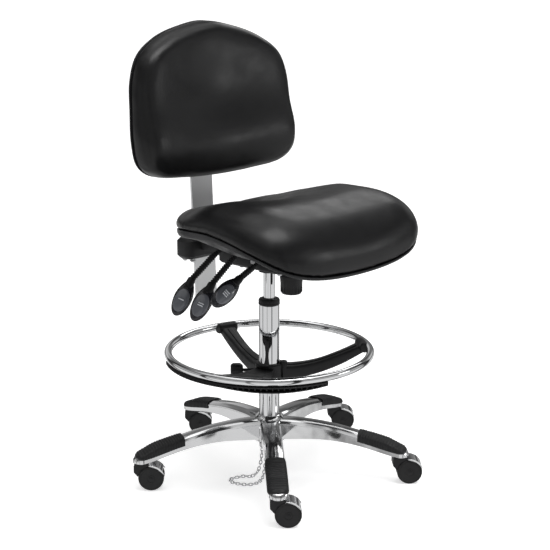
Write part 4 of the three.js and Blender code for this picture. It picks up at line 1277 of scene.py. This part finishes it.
def make_surroundings():
    world = bpy.data.worlds.new("studio")
    scene.world = world
    world.use_nodes = True
    nodes, links = world.node_tree.nodes, world.node_tree.links
    nodes.clear()
    where = nodes.new("ShaderNodeTexCoord")
    turn = nodes.new("ShaderNodeMapping")
    turn.inputs["Rotation"].default_value = (0, 0, -BASE_TURN)
    links.new(where.outputs["Generated"], turn.inputs["Vector"])
    parts = nodes.new("ShaderNodeSeparateXYZ")
    links.new(turn.outputs["Vector"], parts.inputs[0])
    shift = nodes.new("ShaderNodeMath")
    shift.operation, shift.inputs[1].default_value, shift.inputs[2].default_value = "MULTIPLY_ADD", 0.5, 0.5
    links.new(parts.outputs["Z"], shift.inputs[0])
    sky = ramp(nodes, [(0.5 + 0.5 * math.sin(math.radians(e)), grey) for e, grey in SKY])
    links.new(shift.outputs[0], sky.inputs["Fac"])
    round_about = nodes.new("ShaderNodeTexGradient")
    round_about.gradient_type = "RADIAL"
    links.new(turn.outputs["Vector"], round_about.inputs["Vector"])
    stops = []
    for right, half, grey in STRIPES:
        middle = ((right - 90) / 360 + 0.5) % 1
        for side, level in ((-1.3, 1.0), (-0.7, grey), (0.7, grey), (1.3, 1.0)):
            stops.append((middle + side * half / 360, level))
    stripes = ramp(nodes, stops)
    links.new(round_about.outputs["Fac"], stripes.inputs["Fac"])
    both = nodes.new("ShaderNodeMix")
    both.data_type, both.blend_type = "RGBA", "MULTIPLY"
    both.inputs["Factor"].default_value = 1.0
    links.new(sky.outputs["Color"], both.inputs["A"])
    links.new(stripes.outputs["Color"], both.inputs["B"])
    glow, plain = nodes.new("ShaderNodeBackground"), nodes.new("ShaderNodeBackground")
    links.new(both.outputs["Result"], glow.inputs["Color"])
    plain.inputs["Color"].default_value, plain.inputs["Strength"].default_value = (1, 1, 1, 1), 1.0
    seen = nodes.new("ShaderNodeLightPath")
    mix, out = nodes.new("ShaderNodeMixShader"), nodes.new("ShaderNodeOutputWorld")
    links.new(seen.outputs["Is Camera Ray"], mix.inputs[0])
    links.new(glow.outputs[0], mix.inputs[1])
    links.new(plain.outputs[0], mix.inputs[2])
    links.new(mix.outputs[0], out.inputs["Surface"])


make_surroundings()
print("surroundings,", len(STRIPES), "stripes")

# %% [markdown]
# A very broad sun gives soft shadows on the floor. Three panels draw the sheen on the vinyl: one
# overhead, one behind for the ridge of the seat, one to the right for its front roll. Places are
# given as seen from the camera: X to the right, Y away from it.
# %% Lights
SEAT_AIM = (0, 0, 0.6)
PANELS = [  # name, place, aim, size in metres, power in watts
    ("overhead", (0.7, -0.7, 3.2), (0.1, 0, 0.6), (1.7, 1.3), 34),
    ("rear_panel", (0.9, 2.6, 2.4), SEAT_AIM, (1.4, 0.7), 7),
    ("right_panel", (2.7, -0.3, 0.9), SEAT_AIM, (0.7, 0.4), 4),
]


def aimed(name, data, place, target):
    """A light at a place, turned towards its target."""
    aim = (BASE @ Vector(target)) - (BASE @ Vector(place))
    turn = aim.to_track_quat("-Z", "Y").to_matrix().to_4x4()
    linked(name, data).matrix_world = Matrix.Translation(BASE @ Vector(place)) @ turn


def make_lights():
    sun = bpy.data.lights.new("broad_sun", "SUN")
    sun.energy, sun.angle = 0.7, math.radians(70)
    aimed("broad_sun", sun, (0.6, 0.5, 4), (0, 0, 0))
    for name, place, target, size, power in PANELS:
        panel = bpy.data.lights.new(name, "AREA")
        panel.shape, panel.size, panel.size_y, panel.energy = "RECTANGLE", *size, power
        aimed(name, panel, place, target)
        print(name, power, "W")


make_lights()
